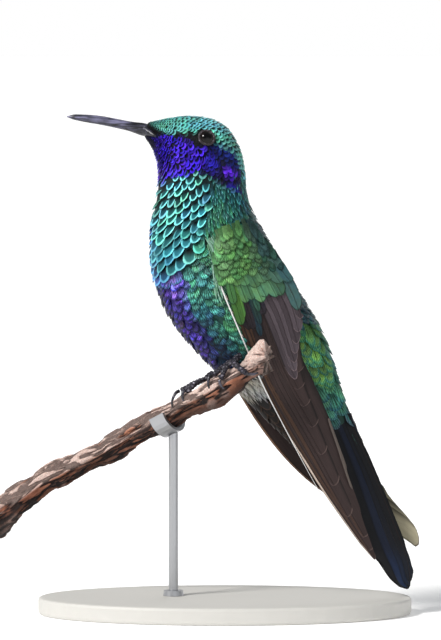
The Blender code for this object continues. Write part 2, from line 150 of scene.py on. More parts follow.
def cast(tree: BVHTree, starts: Array, ways: Array, facing: float = -math.inf) -> Array:
    """Casts a ray from every start.

    Args:
        tree: The solids.
        starts: Places (rows, columns, 3), or a shape that spreads to it.
        ways: Unit ways, likewise.
        facing: Least cosine between a ray and the outward normal of what it hits.

    Returns:
        Distances (rows, columns) in metres, NaN where nothing is hit.
    """
    starts, ways = np.broadcast_arrays(starts, ways)
    found = np.full(starts.shape[:2], np.nan)
    for cell in np.ndindex(found.shape):
        way = Vector(ways[cell])
        _, normal, _, distance = tree.ray_cast(Vector(starts[cell]), way)
        if normal is not None and normal.dot(way) >= facing:
            found[cell] = distance
    return found


def cast_in(tree: BVHTree, centres: Array, ways: Array) -> Array:
    """Distances from centres to the outermost surface along ways, by rays from far outside."""
    return FAR - cast(tree, centres + FAR * ways, -ways)


def turns(count: int) -> Array:
    """Angles once round in even steps, radians."""
    return np.linspace(0, 2 * np.pi, count, endpoint=False)


def ways_round(up: Array, side: Array, turn: Array) -> Array:
    """Unit ways (rows, columns, 3) that turn from each row's up towards its side."""
    return np.cos(turn)[:, None] * up[..., None, :] + np.sin(turn)[:, None] * side[..., None, :]


def placed(origin: Array, *steps: tuple[Array, Array]) -> Array:
    """Points at origin + amount * way, summed over the steps, one for each number of an amount."""
    return origin + sum(amount[..., None] * way for amount, way in steps)


def between(table: Array, i: Array, j: Array, wrap: bool) -> Array:
    """Reads a table between its cells along straight lines.

    Args:
        table: Values (rows, columns, k).
        i: Row numbers, whole or between.
        j: Column numbers.
        wrap: Whether the last column joins the first.

    Returns:
        Values of the shape of i with the table's last axis added.
    """
    rows, columns = table.shape[:2]
    i = np.clip(i, 0, rows - 1.001)
    j = j % columns if wrap else np.clip(j, 0, columns - 1.001)
    i0, j0 = i.astype(int), j.astype(int)
    fi, fj = (i - i0)[..., None], (j - j0)[..., None]
    j0 %= columns
    j1 = (j0 + 1) % columns
    low = table[i0, j0] * (1 - fj) + table[i0, j1] * fj
    high = table[i0 + 1, j0] * (1 - fj) + table[i0 + 1, j1] * fj
    return low * (1 - fi) + high * fi


def inset(u: Array, v: Array, border: float = 0.01) -> Array:
    """Places on a map from two shares of 0 to 1, kept a border's width inside it."""
    return border + (1 - 2 * border) * np.stack([u, v], axis=-1)


def parts(*values: Array | float) -> Array:
    """Packs values for each place into one vector; a single number goes to every place."""
    return np.stack(np.broadcast_arrays(*values), axis=-1)


def smooth_curve(points: Array, at: Array) -> Array:
    """Catmull-Rom curve through rows of points, read at row numbers.

    Between rows a and b the curve is the cubic that leaves a along (b - before a) / 2 and
    reaches b along (after b - a) / 2.

    Args:
        points: Rows to pass through.
        at: Row numbers, whole or between.

    Returns:
        One row for each number.
    """
    points = np.asarray(points, float)
    padded = np.vstack([2 * points[0] - points[1], points, 2 * points[-1] - points[-2]])
    at = np.clip(np.atleast_1d(at), 0, len(points) - 1)
    first = np.minimum(at.astype(int), len(points) - 2)
    t = (at - first)[:, None]
    p0, p1, p2, p3 = (padded[first + k] for k in range(4))
    bend = (2 * p0 - 5 * p1 + 4 * p2 - p3) * t + (3 * p1 - p0 - 3 * p2 + p3) * t * t
    return p1 + 0.5 * t * ((p2 - p0) + bend)


def fill_gaps(grid: Array, wrap: bool, rounds: int = 400) -> Array:
    """Fills the NaN cells of a grid by spreading in from their neighbours.

    Args:
        grid: Two-dimensional values with NaN where unknown.
        wrap: Whether the second axis closes on itself.
        rounds: How many times each unknown cell takes the mean of its four neighbours.

    Returns:
        The grid with every cell known.
    """
    unknown = np.isnan(grid)
    if not unknown.any():
        return grid
    work = np.where(unknown, np.nanmean(grid), grid)
    columns = np.arange(grid.shape[1])
    for row in range(grid.shape[0]):
        known = ~unknown[row]
        if known.sum() > 1:
            period = grid.shape[1] if wrap else None
            work[row] = np.interp(columns, columns[known], grid[row, known], period=period)
    for _ in range(rounds):
        padded = np.pad(work, ((1, 1), (0, 0)), mode="edge")
        sides = np.pad(work, ((0, 0), (1, 1)), mode="wrap" if wrap else "edge")
        mean = (padded[:-2] + padded[2:] + sides[:, :-2] + sides[:, 2:]) / 4
        work = np.where(unknown, mean, work)
    return work


def blur(grid: Array, sigma: tuple[float, float], wrap: bool) -> Array:
    """Gaussian blur of a grid along both axes.

    Args:
        grid: Two-dimensional values.
        sigma: Width of the blur in cells along each axis.
        wrap: Whether the second axis closes on itself.

    Returns:
        The blurred grid, the same shape.
    """
    out = grid
    for axis, width in enumerate(sigma):
        if width <= 0:
            continue
        reach = max(1, int(3 * width))
        kernel = np.exp(-0.5 * (np.arange(-reach, reach + 1) / width) ** 2)
        kernel /= kernel.sum()
        pads = [(0, 0), (0, 0)]
        pads[axis] = (reach, reach)
        # An odd reflection keeps the slope at the ends.
        ends = {"mode": "wrap"} if axis == 1 and wrap else {"mode": "reflect", "reflect_type": "odd"}
        padded = np.pad(out, pads, **ends)
        out = sum(
            weight * np.take(padded, range(k, k + out.shape[axis]), axis=axis)
            for k, weight in enumerate(kernel)
        )
    return out


def face_out(vectors: Array, outward: Array) -> Array:
    """Scales vectors to length one and turns them to the side that outward points to."""
    normal = unit(vectors)
    sign = np.sign((normal * outward).sum(axis=-1, keepdims=True))
    return normal * np.where(sign == 0, 1, sign)


def run_length(line: Array) -> Array:
    """Distance along a line of points to each of them."""
    return np.concatenate([[0], np.cumsum(np.linalg.norm(np.diff(line, axis=0), axis=1))])


def running_mean(line: Array, reach: int) -> Array:
    """Evens out a line of samples with a mean that reaches so many to each side."""
    padded = np.pad(line, reach, mode="reflect", reflect_type="odd")
    return np.convolve(padded, np.ones(2 * reach + 1) / (2 * reach + 1), mode="valid")


def eye_centre(side: str) -> Array:
    """Middle of a packed eye."""
    return np.mean(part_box(f"eye_{side}"), axis=0)


def eye_radius(side: str) -> float:
    """Radius of a packed eye, metres."""
    low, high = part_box(f"eye_{side}")
    return (high[2] - low[2]) / 2


# ---------------------------------------------------------------- the body's form


@dataclass
class BodyForm:
    """The outer form of the head and trunk, as radii about a spine.

    A point of the form is C(s) + r(s, a) * (U(s) cos a + L sin a), where C is the spine, U the
    way to the back in the section's plane, L the way to the left side, s the distance along the
    spine from the bill in millimetres and a the angle from the back round by the left side.
    """

    lengths: Sequence[str] = ("head", "neck", "breast", "belly", "rump")
    rows: int = 240
    columns: int = 180
    roll_at: Sequence[float] = (0.0, 30.0, 45.0, 60.0, 95.0)
    roll_degrees: Sequence[float] = (0.0, 3.0, 11.0, 15.0, 7.0)
    spine_samples: int = 1500
    graze: float = 0.12
    socket_margin: float = 0.9
    smooth: tuple[float, float] = (3.0, 4.5)
    left: Array = field(default_factory=lambda: np.array([0.0, -1.0, 0.0]))

    def __post_init__(self) -> None:
        """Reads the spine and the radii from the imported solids."""
        centres, angles = self._spine_rows()
        rows = np.linspace(0, len(centres) - 1, self.spine_samples)
        fine = smooth_curve(np.column_stack([centres, angles]), rows)
        length = run_length(fine[:, :3]) / MM
        self.s = np.linspace(0, length[-1], self.rows)
        self.centre = np.column_stack([np.interp(self.s, length, fine[:, k]) for k in range(3)])
        angle = np.interp(self.s, length, fine[:, 3])
        self.up = np.column_stack([np.cos(angle), 0 * angle, np.sin(angle)])
        self.ways = ways_round(self.up, self.left, turns(self.columns))
        self.points = self.centre[:, None] + self._radii()[..., None] * self.ways
        self.normals = self._normals()

    def _spine_rows(self) -> tuple[Array, Array]:
        """Gives the spine's points and the sections' angles at the cuts and between them.

        Returns:
            Centres (11, 3) in metres and the angles of the way to the back, in radians.
        """
        middles = [solid_centre(name) for name in self.lengths]
        bill, tail = (np.mean(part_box(name), axis=0) for name in ("bill_upper", "tail_left"))
        stops = [bill, *middles, tail]
        cuts: list[tuple[Array, Array]] = []
        for index, name in enumerate(self.lengths):
            here = middles[index]
            front, front_normal = flat_cap(name, stops[index] - here)
            back, back_normal = flat_cap(name, stops[index + 2] - here)
            cuts += [(front, -front_normal), (back, back_normal)]
        seams = [cuts[0]]
        for k in range(1, len(cuts) - 1, 2):
            seams.append(((cuts[k][0] + cuts[k + 1][0]) / 2, unit(cuts[k][1] + cuts[k + 1][1])))
        seams.append(cuts[-1])
        # The way to the back is the seam's normal turned a quarter in the upright plane.
        seam_angles = np.unwrap([math.atan2(-normal[0], normal[2]) + math.pi for _, normal in seams])
        centres: list[Array] = []
        angles: list[float] = []
        for k, (point, _) in enumerate(seams):
            centres.append(point)
            angles.append(seam_angles[k])
            if k < len(middles):
                middle = middles[k].copy()
                middle[1] = 0.0
                centres.append(middle)
                angles.append(self._fan_angle(point, seams[k + 1][0], seam_angles[k : k + 2], middle))
        rows = np.array(centres)
        rows[:, 1] = 0.0
        return rows, np.array(angles)

    @staticmethod
    def _fan_angle(first: Array, second: Array, angles: Sequence[float], middle: Array) -> float:
        """Angle of a section between two cuts, whose planes open like a fan about one line.

        The fan's line is where the two cuts' planes meet; the section points from it to the
        middle. Nearly parallel cuts give the mean of their angles.

        Args:
            first: A point of the first cut.
            second: A point of the second cut.
            angles: The two cuts' angles, radians.
            middle: A point of the section.

        Returns:
            The section's angle in radians.
        """
        mean = sum(angles) / 2
        nearly_parallel = math.radians(12)
        if abs(angles[1] - angles[0]) < nearly_parallel:
            return mean
        ways = np.array([[math.cos(angle), math.sin(angle)] for angle in angles])
        gap = (second - first)[[0, 2]]
        reach = np.linalg.solve(np.column_stack([ways[0], -ways[1]]), gap)
        hinge = first[[0, 2]] + reach[0] * ways[0]
        way = middle[[0, 2]] - hinge
        found = math.atan2(way[1], way[0])
        return found + round((mean - found) / math.pi) * math.pi

    def _radii(self) -> Array:
        """Casts a ray out through the solids for every row and angle.

        Returns:
            Radii (rows, columns) in metres, with the cuts and the eye sockets smoothed over.
        """
        socket = eye_radius("left") + self.socket_margin * MM
        grid = cast(tree_of(*self.lengths), self.centre[:, None], self.ways, self.graze)
        spots = self.centre[:, None] + grid[..., None] * self.ways
        for side in SIDES:
            grid[np.linalg.norm(spots - eye_centre(side), axis=-1) < socket] = np.nan
        return blur(fill_gaps(grid, wrap=True), self.smooth, wrap=True)

    def _normals(self) -> Array:
        """Outward unit normals of the form's points, from their neighbours."""
        along = np.gradient(self.points, axis=0)
        around = np.roll(self.points, -1, axis=1) - np.roll(self.points, 1, axis=1)
        return face_out(np.cross(around, along), self.ways)

    def outward_at(self, place: Array) -> Array:
        """Unit normal of the form's point nearest to a place."""
        nearest = np.argmin(np.linalg.norm(self.points - place, axis=2))
        return unit(self.normals.reshape(-1, 3)[nearest])

    def roll(self, s: Array) -> Array:
        """Turn of the bird's own midline about the spine at s, in radians."""
        return np.radians(np.interp(s, self.roll_at, self.roll_degrees))

    def side_angle(self, s: Array, a: Array) -> Array:
        """Angle from the bird's own back, 0 to pi at its breast, the same on both sides."""
        return np.abs((a + self.roll(s) + np.pi) % (2 * np.pi) - np.pi)

    def read(self, table: Array, s: Array, a: Array) -> Array:
        """Reads a (rows, columns, k) table at distances along the spine (mm) and angles about it."""
        return between(table, s / self.s[-1] * (self.rows - 1), a / (2 * np.pi) * self.columns, wrap=True)

    def unwrap(self, s: Array, a: Array) -> Array:
        """Places on the form's own unwrap, round it first and then along it."""
        return inset((a / (2 * np.pi)) % 1.0, np.clip(s / self.s[-1], 0, 1))

    def at(self, s: Array, a: Array, height: Array) -> Array:
        """Points at a height (metres) above the form."""
        return self.read(self.points, s, a) + height[..., None] * self.read(self.normals, s, a)


# ---------------------------------------------------------------- the wings' and tail's forms


@dataclass
class SheetForm:
    """The outer face of a thin spread form, such as a folded wing or half a tail.

    A point is O + k A + c B + (d + height) N, where A runs along the sheet, B across it from its
    leading to its trailing edge, N out of it, and d(k, c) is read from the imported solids. A convex
    sheet's leading edge is bridged over its notches; over the first hold mm both edges are straight.
    """

    names: Sequence[str]
    origin: Array
    along: Array
    across: Array
    outward: Array
    step: float = 0.35
    smooth: float = 2.2
    convex: bool = False
    hold: float = 0.0
    edge_reach: int = 2
    soft_reach: int = 14

    def __post_init__(self) -> None:
        """Measures the sheet's outline and face by casting rays at the solids."""
        tree = tree_of(*self.names)
        points = np.concatenate([node_arrays(name)[0] for name in self.names]) - self.origin
        k, c = points @ self.along / MM, points @ self.across / MM
        self.k = np.arange(k.min() + 0.05, k.max(), self.step)
        self.c = np.arange(c.min() - 0.6, c.max() + 0.6, self.step)
        kk, cc = np.meshgrid(self.k * MM, self.c * MM, indexing="ij")
        spots = placed(self.origin, (kk, self.along), (cc, self.across))
        depth = cast_in(tree, spots, self.outward)
        found = ~np.isnan(depth)
        rows = found.any(axis=1)
        lead = np.where(rows, self.c[np.argmax(found, axis=1)], np.nan) - self.step / 2
        trail = np.where(rows, self.c[len(self.c) - 1 - np.argmax(found[:, ::-1], axis=1)], np.nan)
        known = np.flatnonzero(rows)
        every = np.arange(len(self.k))
        edge = np.interp(every, known, lead[known])
        self.lead = running_mean(self._under(edge) if self.convex else edge, self.edge_reach)
        self.trail = running_mean(np.interp(every, known, trail[known] + self.step / 2), self.edge_reach)
        first = int(self.hold / self.step)
        self.lead[:first], self.trail[:first] = self.lead[first], self.trail[first]
        self.soft_lead = running_mean(self.lead, self.soft_reach)
        self.soft_trail = running_mean(self.trail, self.soft_reach)
        filled = fill_gaps(depth, wrap=False, rounds=150)
        self.depth = blur(filled, (self.smooth, self.smooth), wrap=False)

    @staticmethod
    def _under(line: Array) -> Array:
        """The tightest outward-curving line under even samples, which bridges their notches."""
        kept: list[int] = []
        for here in range(len(line)):
            while len(kept) > 1:
                a, b = kept[-2:]
                if (line[b] - line[a]) * (here - a) < (line[here] - line[a]) * (b - a):
                    break
                kept.pop()
            kept.append(here)
        return np.interp(np.arange(len(line)), kept, line[kept])

    def edge(self, k: Array, share: Array) -> Array:
        """Distance across at a share of the way from the softened leading to the trailing edge."""
        lead = np.interp(k, self.k, self.soft_lead)
        trail = np.interp(k, self.k, self.soft_trail)
        return lead + (trail - lead) * share

    def at(self, k: Array, c: Array, height: Array) -> Array:
        """Points at k along and c across (mm) and a height (mm) out of the sheet."""
        i, j = (k - self.k[0]) / self.step, (c - self.c[0]) / self.step
        out = between(self.depth[..., None], i, j, wrap=False)[..., 0] + height * MM
        return placed(self.origin, (k * MM, self.along), (c * MM, self.across), (out, self.outward))

    def borders(self, k: Array) -> tuple[Array, Array]:
        """The leading and the trailing edge at k."""
        return np.interp(k, self.k, self.lead), np.interp(k, self.k, self.trail)


def wing_form(side: str) -> SheetForm:
    """Reads a wing's form, with its axes along the straight line that fits it best.

    Args:
        side: "left" or "right".

    Returns:
        The sheet, from the shoulder down to the tip and from the leading to the trailing edge.
    """
    names = [f"wing_{side}_{part}" for part in ("shoulder", "coverts", "primaries")]
    outward = np.array([0.0, -1.0 if side == "left" else 1.0, 0.0])
    top, tip = solid_centre(names[0]), solid_centre(names[2])
    along = tip - top
    along[1] = 0.0
    along = unit(along)
    across = np.array([-along[2], 0.0, along[0]])
    origin = top.copy()
    origin[1] = 0.0
    return SheetForm(names, origin, along, across, outward, convex=side == "left", hold=2.4)


def tail_form(side: str) -> SheetForm:
    """Reads half a tail's form, from its base to its end and from the ridge to the eave.

    Args:
        side: "left" or "right".

    Returns:
        The sheet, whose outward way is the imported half's own upper face.
    """
    name = f"tail_{side}"
    points, _ = node_arrays(name)
    middle = points.mean(axis=0)
    # The axes come in order of spread: out of the sheet, across it and along it.
    _, vectors = np.linalg.eigh(np.cov((points - middle).T))
    outward, across, along = vectors.T * np.sign(vectors[2])[:, None] * [[1], [-1], [-1]]
    return SheetForm([name], middle, along, across, outward, step=0.3, smooth=1.2, hold=4.0)


# ---------------------------------------------------------------- shader helpers


def tone(red: float, green: float, blue: float) -> tuple[float, float, float, float]:
    """Linear colour from display values of 0 to 255."""
    shares = [value / 255 for value in (red, green, blue)]
    linear = [p / 12.92 if p <= 0.04045 else ((p + 0.055) / 1.055) ** 2.4 for p in shares]
    return (*linear, 1.0)


class Value:
    """A number on a shader socket, on which the usual operators add Math nodes."""

    def __init__(self, paint: "Paint", socket: bpy.types.NodeSocket) -> None:
        """Keeps the socket and the material it belongs to."""
        self.paint = paint
        self.socket = socket

    def _math(self, operation: str, *values: "Value | float") -> "Value":
        """Adds a Math node over the values and gives its result."""
        node = self.paint.node("ShaderNodeMath", {"operation": operation}, dict(enumerate(values)))
        return Value(self.paint, node.outputs[0])

    def __add__(self, other: "Value | float") -> "Value":
        """Sum."""
        return self._math("ADD", self, other)

    __radd__ = __add__

    def __mul__(self, other: "Value | float") -> "Value":
        """Product."""
        return self._math("MULTIPLY", self, other)

    __rmul__ = __mul__

    def __sub__(self, other: "Value | float") -> "Value":
        """Difference."""
        return self._math("SUBTRACT", self, other)

    def __rsub__(self, other: "Value | float") -> "Value":
        """Difference the other way round."""
        return self._math("SUBTRACT", other, self)

    def sine(self) -> "Value":
        """Sine of the value in radians."""
        return self._math("SINE", self)

    def size(self) -> "Value":
        """Value without its sign."""
        return self._math("ABSOLUTE", self)

    def step(self, low: float, high: float) -> "Value":
        """Smooth rise from 0 at low to 1 at high, or a fall where low is the larger."""
        if low > high:
            return 1 - self.step(high, low)
        settings = {"interpolation_type": "SMOOTHSTEP"}
        node = self.paint.node("ShaderNodeMapRange", settings, {0: self, 1: low, 2: high})
        return Value(self.paint, node.outputs[0])


class Paint:
    """One node material under construction."""

    def __init__(self, name: str) -> None:
        """Starts an empty material."""
        self.material = bpy.data.materials.new(name)
        self.material.use_nodes = True
        self.tree = self.material.node_tree
        self.tree.nodes.clear()

    def node(
        self, kind: str, settings: Optional[dict] = None, inputs: Optional[dict] = None
    ) -> bpy.types.Node:
        """Adds a node.

        Args:
            kind: The node's type.
            settings: Its properties, set before its sockets.
            inputs: A value, a Value or a socket for each input by its name or number.

        Returns:
            The node.
        """
        node = self.tree.nodes.new(kind)
        for name, value in (settings or {}).items():
            setattr(node, name, value)
        for name, value in (inputs or {}).items():
            if isinstance(value, Value):
                value = value.socket
            if isinstance(value, bpy.types.NodeSocket):
                self.tree.links.new(value, node.inputs[name])
            else:
                node.inputs[name].default_value = value
        return node

    def place(self) -> bpy.types.NodeSocket:
        """Object coordinates, in metres."""
        return self.node("ShaderNodeTexCoord").outputs["Object"]

    def map(self, name: str) -> tuple[Value, Value, bpy.types.NodeSocket]:
        """The two coordinates of a named UV map, and the map itself."""
        uv = self.node("ShaderNodeUVMap", {"uv_map": name}).outputs[0]
        split = self.node("ShaderNodeSeparateXYZ", None, {0: uv})
        return Value(self, split.outputs[0]), Value(self, split.outputs[1]), uv

    def colour(self, name: str) -> bpy.types.NodeSocket:
        """A colour stored on the mesh."""
        return self.node("ShaderNodeAttribute", {"attribute_name": name}).outputs["Color"]

    def marks(self, name: str) -> tuple[Value, Value, Value]:
        """Three numbers stored on the mesh as one vector."""
        vector = self.node("ShaderNodeAttribute", {"attribute_name": name}).outputs["Vector"]
        split = self.node("ShaderNodeSeparateXYZ", None, {0: vector})
        return Value(self, split.outputs[0]), Value(self, split.outputs[1]), Value(self, split.outputs[2])

    def stretch(self, vector: bpy.types.NodeSocket, scale: Sequence[float]) -> bpy.types.NodeSocket:
        """Multiplies coordinates part by part."""
        settings = {"operation": "MULTIPLY"}
        return self.node("ShaderNodeVectorMath", settings, {0: vector, 1: tuple(scale)}).outputs[0]

    def noise(
        self, vector: bpy.types.NodeSocket, scale: float, detail: float = 3.0, rough: float = 0.5
    ) -> Value:
        """Fractal noise about 0.5."""
        inputs = {"Vector": vector, "Scale": scale, "Detail": detail, "Roughness": rough}
        return Value(self, self.node("ShaderNodeTexNoise", None, inputs).outputs[0])

    def cells(self, vector: bpy.types.NodeSocket, scale: float, feature: str = "F1") -> Value:
        """Distances of a Voronoi pattern."""
        inputs = {"Vector": vector, "Scale": scale}
        node = self.node("ShaderNodeTexVoronoi", {"feature": feature}, inputs)
        return Value(self, node.outputs["Distance"])

    def mix(
        self, factor: "Value | float", first: object, second: object, blend: str = "MIX"
    ) -> bpy.types.NodeSocket:
        """Mixes two colours."""
        settings = {"data_type": "RGBA", "blend_type": blend}
        return self.node("ShaderNodeMix", settings, {0: factor, 6: first, 7: second}).outputs[2]

    def shade(self, colour: object, amount: Value) -> bpy.types.NodeSocket:
        """Multiplies a colour by a number."""
        grey = self.node("ShaderNodeCombineColor", None, {0: amount, 1: amount, 2: amount}).outputs[0]
        return self.mix(1.0, colour, grey, "MULTIPLY")

    def bump(self, height: Value, distance: float, strength: float = 1.0) -> bpy.types.NodeSocket:
        """Normal of a height field whose full range is a distance in metres."""
        inputs = {"Strength": strength, "Distance": distance, "Height": height}
        return self.node("ShaderNodeBump", None, inputs).outputs[0]

    def surface(self, **sockets: object) -> bpy.types.Material:
        """Ends the material with a Principled shader whose sockets are named with _ for spaces."""
        inputs = {name.replace("_", " "): value for name, value in sockets.items()}
        shader = self.node("ShaderNodeBsdfPrincipled", None, inputs)
        self.node("ShaderNodeOutputMaterial", None, {"Surface": shader.outputs[0]})
        return self.material


# ---------------------------------------------------------------- finishes


@dataclass(frozen=True)
class VaneFinish:
    """Small body feathers: centre and rim tones, fine barbs, a shaft, and painted shade towards the root."""

    name: str
    barbs: float = 22.0
    barb_depth: float = 0.03
    barb_shade: float = 0.45
    steep: float = 0.55
    shaft: float = 0.25
    rim_width: float = 0.16
    rim_bow: float = 0.16
    root_shade: float = 0.55
    roughness: float = 0.42
    metal: float = 0.25

    def build(self) -> bpy.types.Material:
        """Makes the material from the "vane" map and the "centre", "edge" and "marks" values."""
        paint = Paint(self.name)
        across, along, _ = paint.map("vane")
        start, gloss, chance = paint.marks("marks")
        side = (across - 0.5) * 2
        # The rim is the last part of the length, reaching further up at the sides.
        reach = along + side * side * self.rim_bow
        rim = (reach - start + self.rim_width / 2).step(0.0, self.rim_width)
        line = (along * self.steep - side.size() * 0.5) * (2 * math.pi * self.barbs) + chance * 40
        barb = line.sine() * 0.5 + 0.5
        wisp = paint.noise(paint.place(), 2600.0, 2.0)
        colour = paint.mix(rim, paint.colour("centre"), paint.colour("edge"))
        tint = 1 - barb * self.barb_shade * 0.6 - (wisp - 0.3) * self.barb_shade
        shaft = side.size().step(0.10, 0.02) * along.step(0.95, 0.6)
        # Painted shade: the part near the root darkens, where the feather over it would cast its shadow.
        tint = (tint - shaft * self.shaft) * (1 - self.root_shade * along.step(0.85, 0.45))
        colour = paint.shade(colour, tint * 1.2)
        height = barb * 0.6 + shaft * 0.8 + wisp * 0.5
        return paint.surface(
            Base_Color=colour,
            Metallic=gloss * self.metal,
            Roughness=self.roughness + 0.12 * (1 - rim),
            Specular_IOR_Level=0.18,
            Normal=paint.bump(height, self.barb_depth * MM),
        )


@dataclass(frozen=True)
class QuillFinish:
    """Flight and tail feathers: two webs of slanting barbs on a shaft, with pale tips."""

    name: str
    barbs: float = 150.0
    slant: float = 26.0
    roughness: float = 0.5
    streak: float = 0.35
    depth: float = 0.02
    rim_sharp: float = 220.0
    border: float = 0.0
    turn: float = 0.0
    outline: float = 0.0

    def build(self) -> bpy.types.Material:
        """Makes the material from the "vane" map and the "centre", "edge" and "marks" values."""
        paint = Paint(self.name)
        across, along, uv = paint.map("vane")
        start, gloss, chance = paint.marks("marks")
        side = (across - 0.5) * 2
        rim = ((along - start) * self.rim_sharp + side * side * 1.6).step(0.0, 1.5) * along.step(0.6, 0.85)
        barb = ((along * self.barbs - side.size() * self.slant) * (2 * math.pi)).sine() * 0.5 + 0.5
        long = paint.noise(paint.stretch(uv, (22.0, 1.2, 1.0)), 6.0, 3.0)
        broad = paint.noise(paint.stretch(uv, (3.0, 5.0, 1.0)), 2.0, 2.0)
        border = side.size().step(0.80, 0.98) * self.border
        colour = paint.mix(rim, paint.colour("centre"), paint.colour("edge"))
        colour = paint.mix(border, colour, paint.colour("edge"))
        # Patches lean to blue-green, as the sheen does from feather to feather.
        patch = paint.noise(paint.place(), 330.0, 2.0).step(0.40, 0.66) * self.turn
        colour = paint.mix(patch, colour, paint.mix(1.0, colour, (0.55, 0.98, 1.7, 1.0), "MULTIPLY"))
        shaft = side.size().step(0.07, 0.02)
        tint = 0.75 + broad * 0.5 + (long - 0.5) * self.streak * 2 - barb * 0.10 + (chance - 0.5) * 0.14
        colour = paint.shade(colour, tint * (1 - side.size().step(0.72, 1.0) * self.outline * (1 - rim)))
        colour = paint.mix(shaft * 0.6, colour, tone(34, 24, 22))
        height = barb * 0.5 + shaft * 1.6 + long * 1.4
        return paint.surface(
            Base_Color=colour,
            Metallic=gloss * 0.4,
            Roughness=self.roughness - gloss * 0.12 + broad * 0.1,
            Specular_IOR_Level=0.22,
            Normal=paint.bump(height, self.depth * MM),
        )


@dataclass(frozen=True)
class SkinFinish:
    """Skin and under-down, with the plumage's own markings, and scaly legs with painted highlights on the
    scutes.
    """

    name: str = "skin"

    def build(self) -> bpy.types.Material:
        """Makes the material from the "centre" colour and the "marks" values."""
        paint = Paint(self.name)
        scute, _, _ = paint.marks("marks")
        place = paint.place()
        down = paint.noise(place, 1900.0, 4.0, 0.7)
        cell = paint.cells(place, 1150.0, "DISTANCE_TO_EDGE")
        groove = cell.step(0.0, 0.20)
        # Painted highlight: the middle of each leg scute turns towards pale grey, as shine on it.
        scute_highlight = cell.step(0.22, 0.50) * scute
        colour = paint.shade(paint.colour("centre"), 0.55 + down * 0.7)
        colour = paint.shade(colour, 1 - scute * (1 - groove) * 0.7)
        colour = paint.mix(scute_highlight * 0.7, colour, tone(186, 180, 194))
        height = down * (1 - scute) * 0.6 + groove * scute
        return paint.surface(
            Base_Color=colour,
            Roughness=0.74 - scute * 0.48,
            Specular_IOR_Level=0.3,
            Normal=paint.bump(height, 0.12 * MM),
        )


@dataclass(frozen=True)
class HornFinish:
    """Bill and claws: dark horn with fine lengthwise streaks and a soft sheen."""

    name: str
    dark: tuple[float, float, float, float]
    light: tuple[float, float, float, float]
    grain: tuple[float, float, float] = (110.0, 2600.0, 2600.0)
    roughness: float = 0.34

    def build(self) -> bpy.types.Material:
        """Makes the material on Object coordinates and the "marks" value, whose first part darkens it:
        painted shade on the bill's underside, and its base.
        """
        paint = Paint(self.name)
        deep, _, _ = paint.marks("marks")
        place = paint.place()
        streak = paint.noise(paint.stretch(place, self.grain), 1.0, 4.0, 0.6)
        mottle = paint.noise(place, 420.0, 3.0)
        colour = paint.mix((streak * 0.8 + mottle * 0.3 - 0.1).step(0.34, 0.60), self.dark, self.light)
        # Painted shade: the first mark darkens the bill's underside; it also darkens the bill's base.
        colour = paint.shade(colour, 1 - deep)
        return paint.surface(
            Base_Color=colour,
            Roughness=self.roughness + (mottle - 0.5) * 0.2,
            Normal=paint.bump(streak + mottle * 0.4, 0.035 * MM),
        )


@dataclass(frozen=True)
class EyeFinish:
    """Eye: black pupil in a dark brown iris with fine rays, with a smooth wet gloss."""

    name: str = "eye"

    def build(self) -> bpy.types.Material:
        """Makes the material from the eye's own map, whose first part runs out from the pupil."""
        paint = Paint(self.name)
        out, _, uv = paint.map("vane")
        rays = paint.noise(paint.stretch(uv, (3.0, 60.0, 1.0)), 3.0, 2.0)
        iris = paint.mix(rays.step(0.3, 0.8), tone(9, 6, 6), tone(26, 18, 14))
        colour = paint.mix(out.step(0.30, 0.36), tone(1, 1, 2), iris)
        colour = paint.mix(out.step(0.50, 0.60), colour, tone(6, 4, 4))
        return paint.surface(Base_Color=colour, Roughness=0.11 + rays * 0.03, Specular_IOR_Level=0.26)


@dataclass(frozen=True)
class BarkFinish:
    """Weathered twig: tan wood, grey-pink bark ridges and dark brown cracks, with painted light on its upper
    faces and painted shade underneath and in the crevices.
    """

    name: str = "bark"

    def build(self) -> bpy.types.Material:
        """Makes the material from the twig's map (along in mm, round) and its "marks" values."""
        paint = Paint(self.name)
        height, raw, shade = paint.marks("marks")
        _, _, uv = paint.map("vane")
        place = paint.place()
        grain = paint.noise(paint.stretch(uv, (2.6, 44.0, 1.0)), 1.0, 5.0, 0.7)
        fleck = paint.noise(place, 1500.0, 4.0, 0.7)
        patch = paint.noise(place, 150.0, 3.0)
        # Dark cracks: their own dark brown, deepened by painted shade where the first mark dips in the
        # crevices.
        cracks = (height + (grain - 0.5) * 0.7 + (fleck - 0.5) * 0.35).step(0.22, 0.62)
        wood = paint.mix(patch.step(0.35, 0.65), tone(204, 134, 102), tone(150, 88, 62))
        bark = paint.mix(cracks, tone(44, 19, 11), wood)
        # Painted highlight: where the second mark is set the pale bare-wood tone shows, up to near white, on
        # the bare broken end and on every face that looks up.
        bare = paint.mix(grain.step(0.36, 0.54), tone(204, 128, 98), tone(255, 234, 224))
        bark = paint.mix(raw * (0.25 + cracks * 0.75), bark, bare)
        # Painted shade: the third mark darkens the underside by up to four fifths.
        bark = paint.shade(bark, (1 - shade * 0.80) * (0.55 + fleck * 1.0))
        bump = paint.bump(grain * 0.7 + fleck * 0.8 + cracks * 0.5, 0.55 * MM)
        return paint.surface(Base_Color=bark, Roughness=0.72 + fleck * 0.15, Normal=bump)


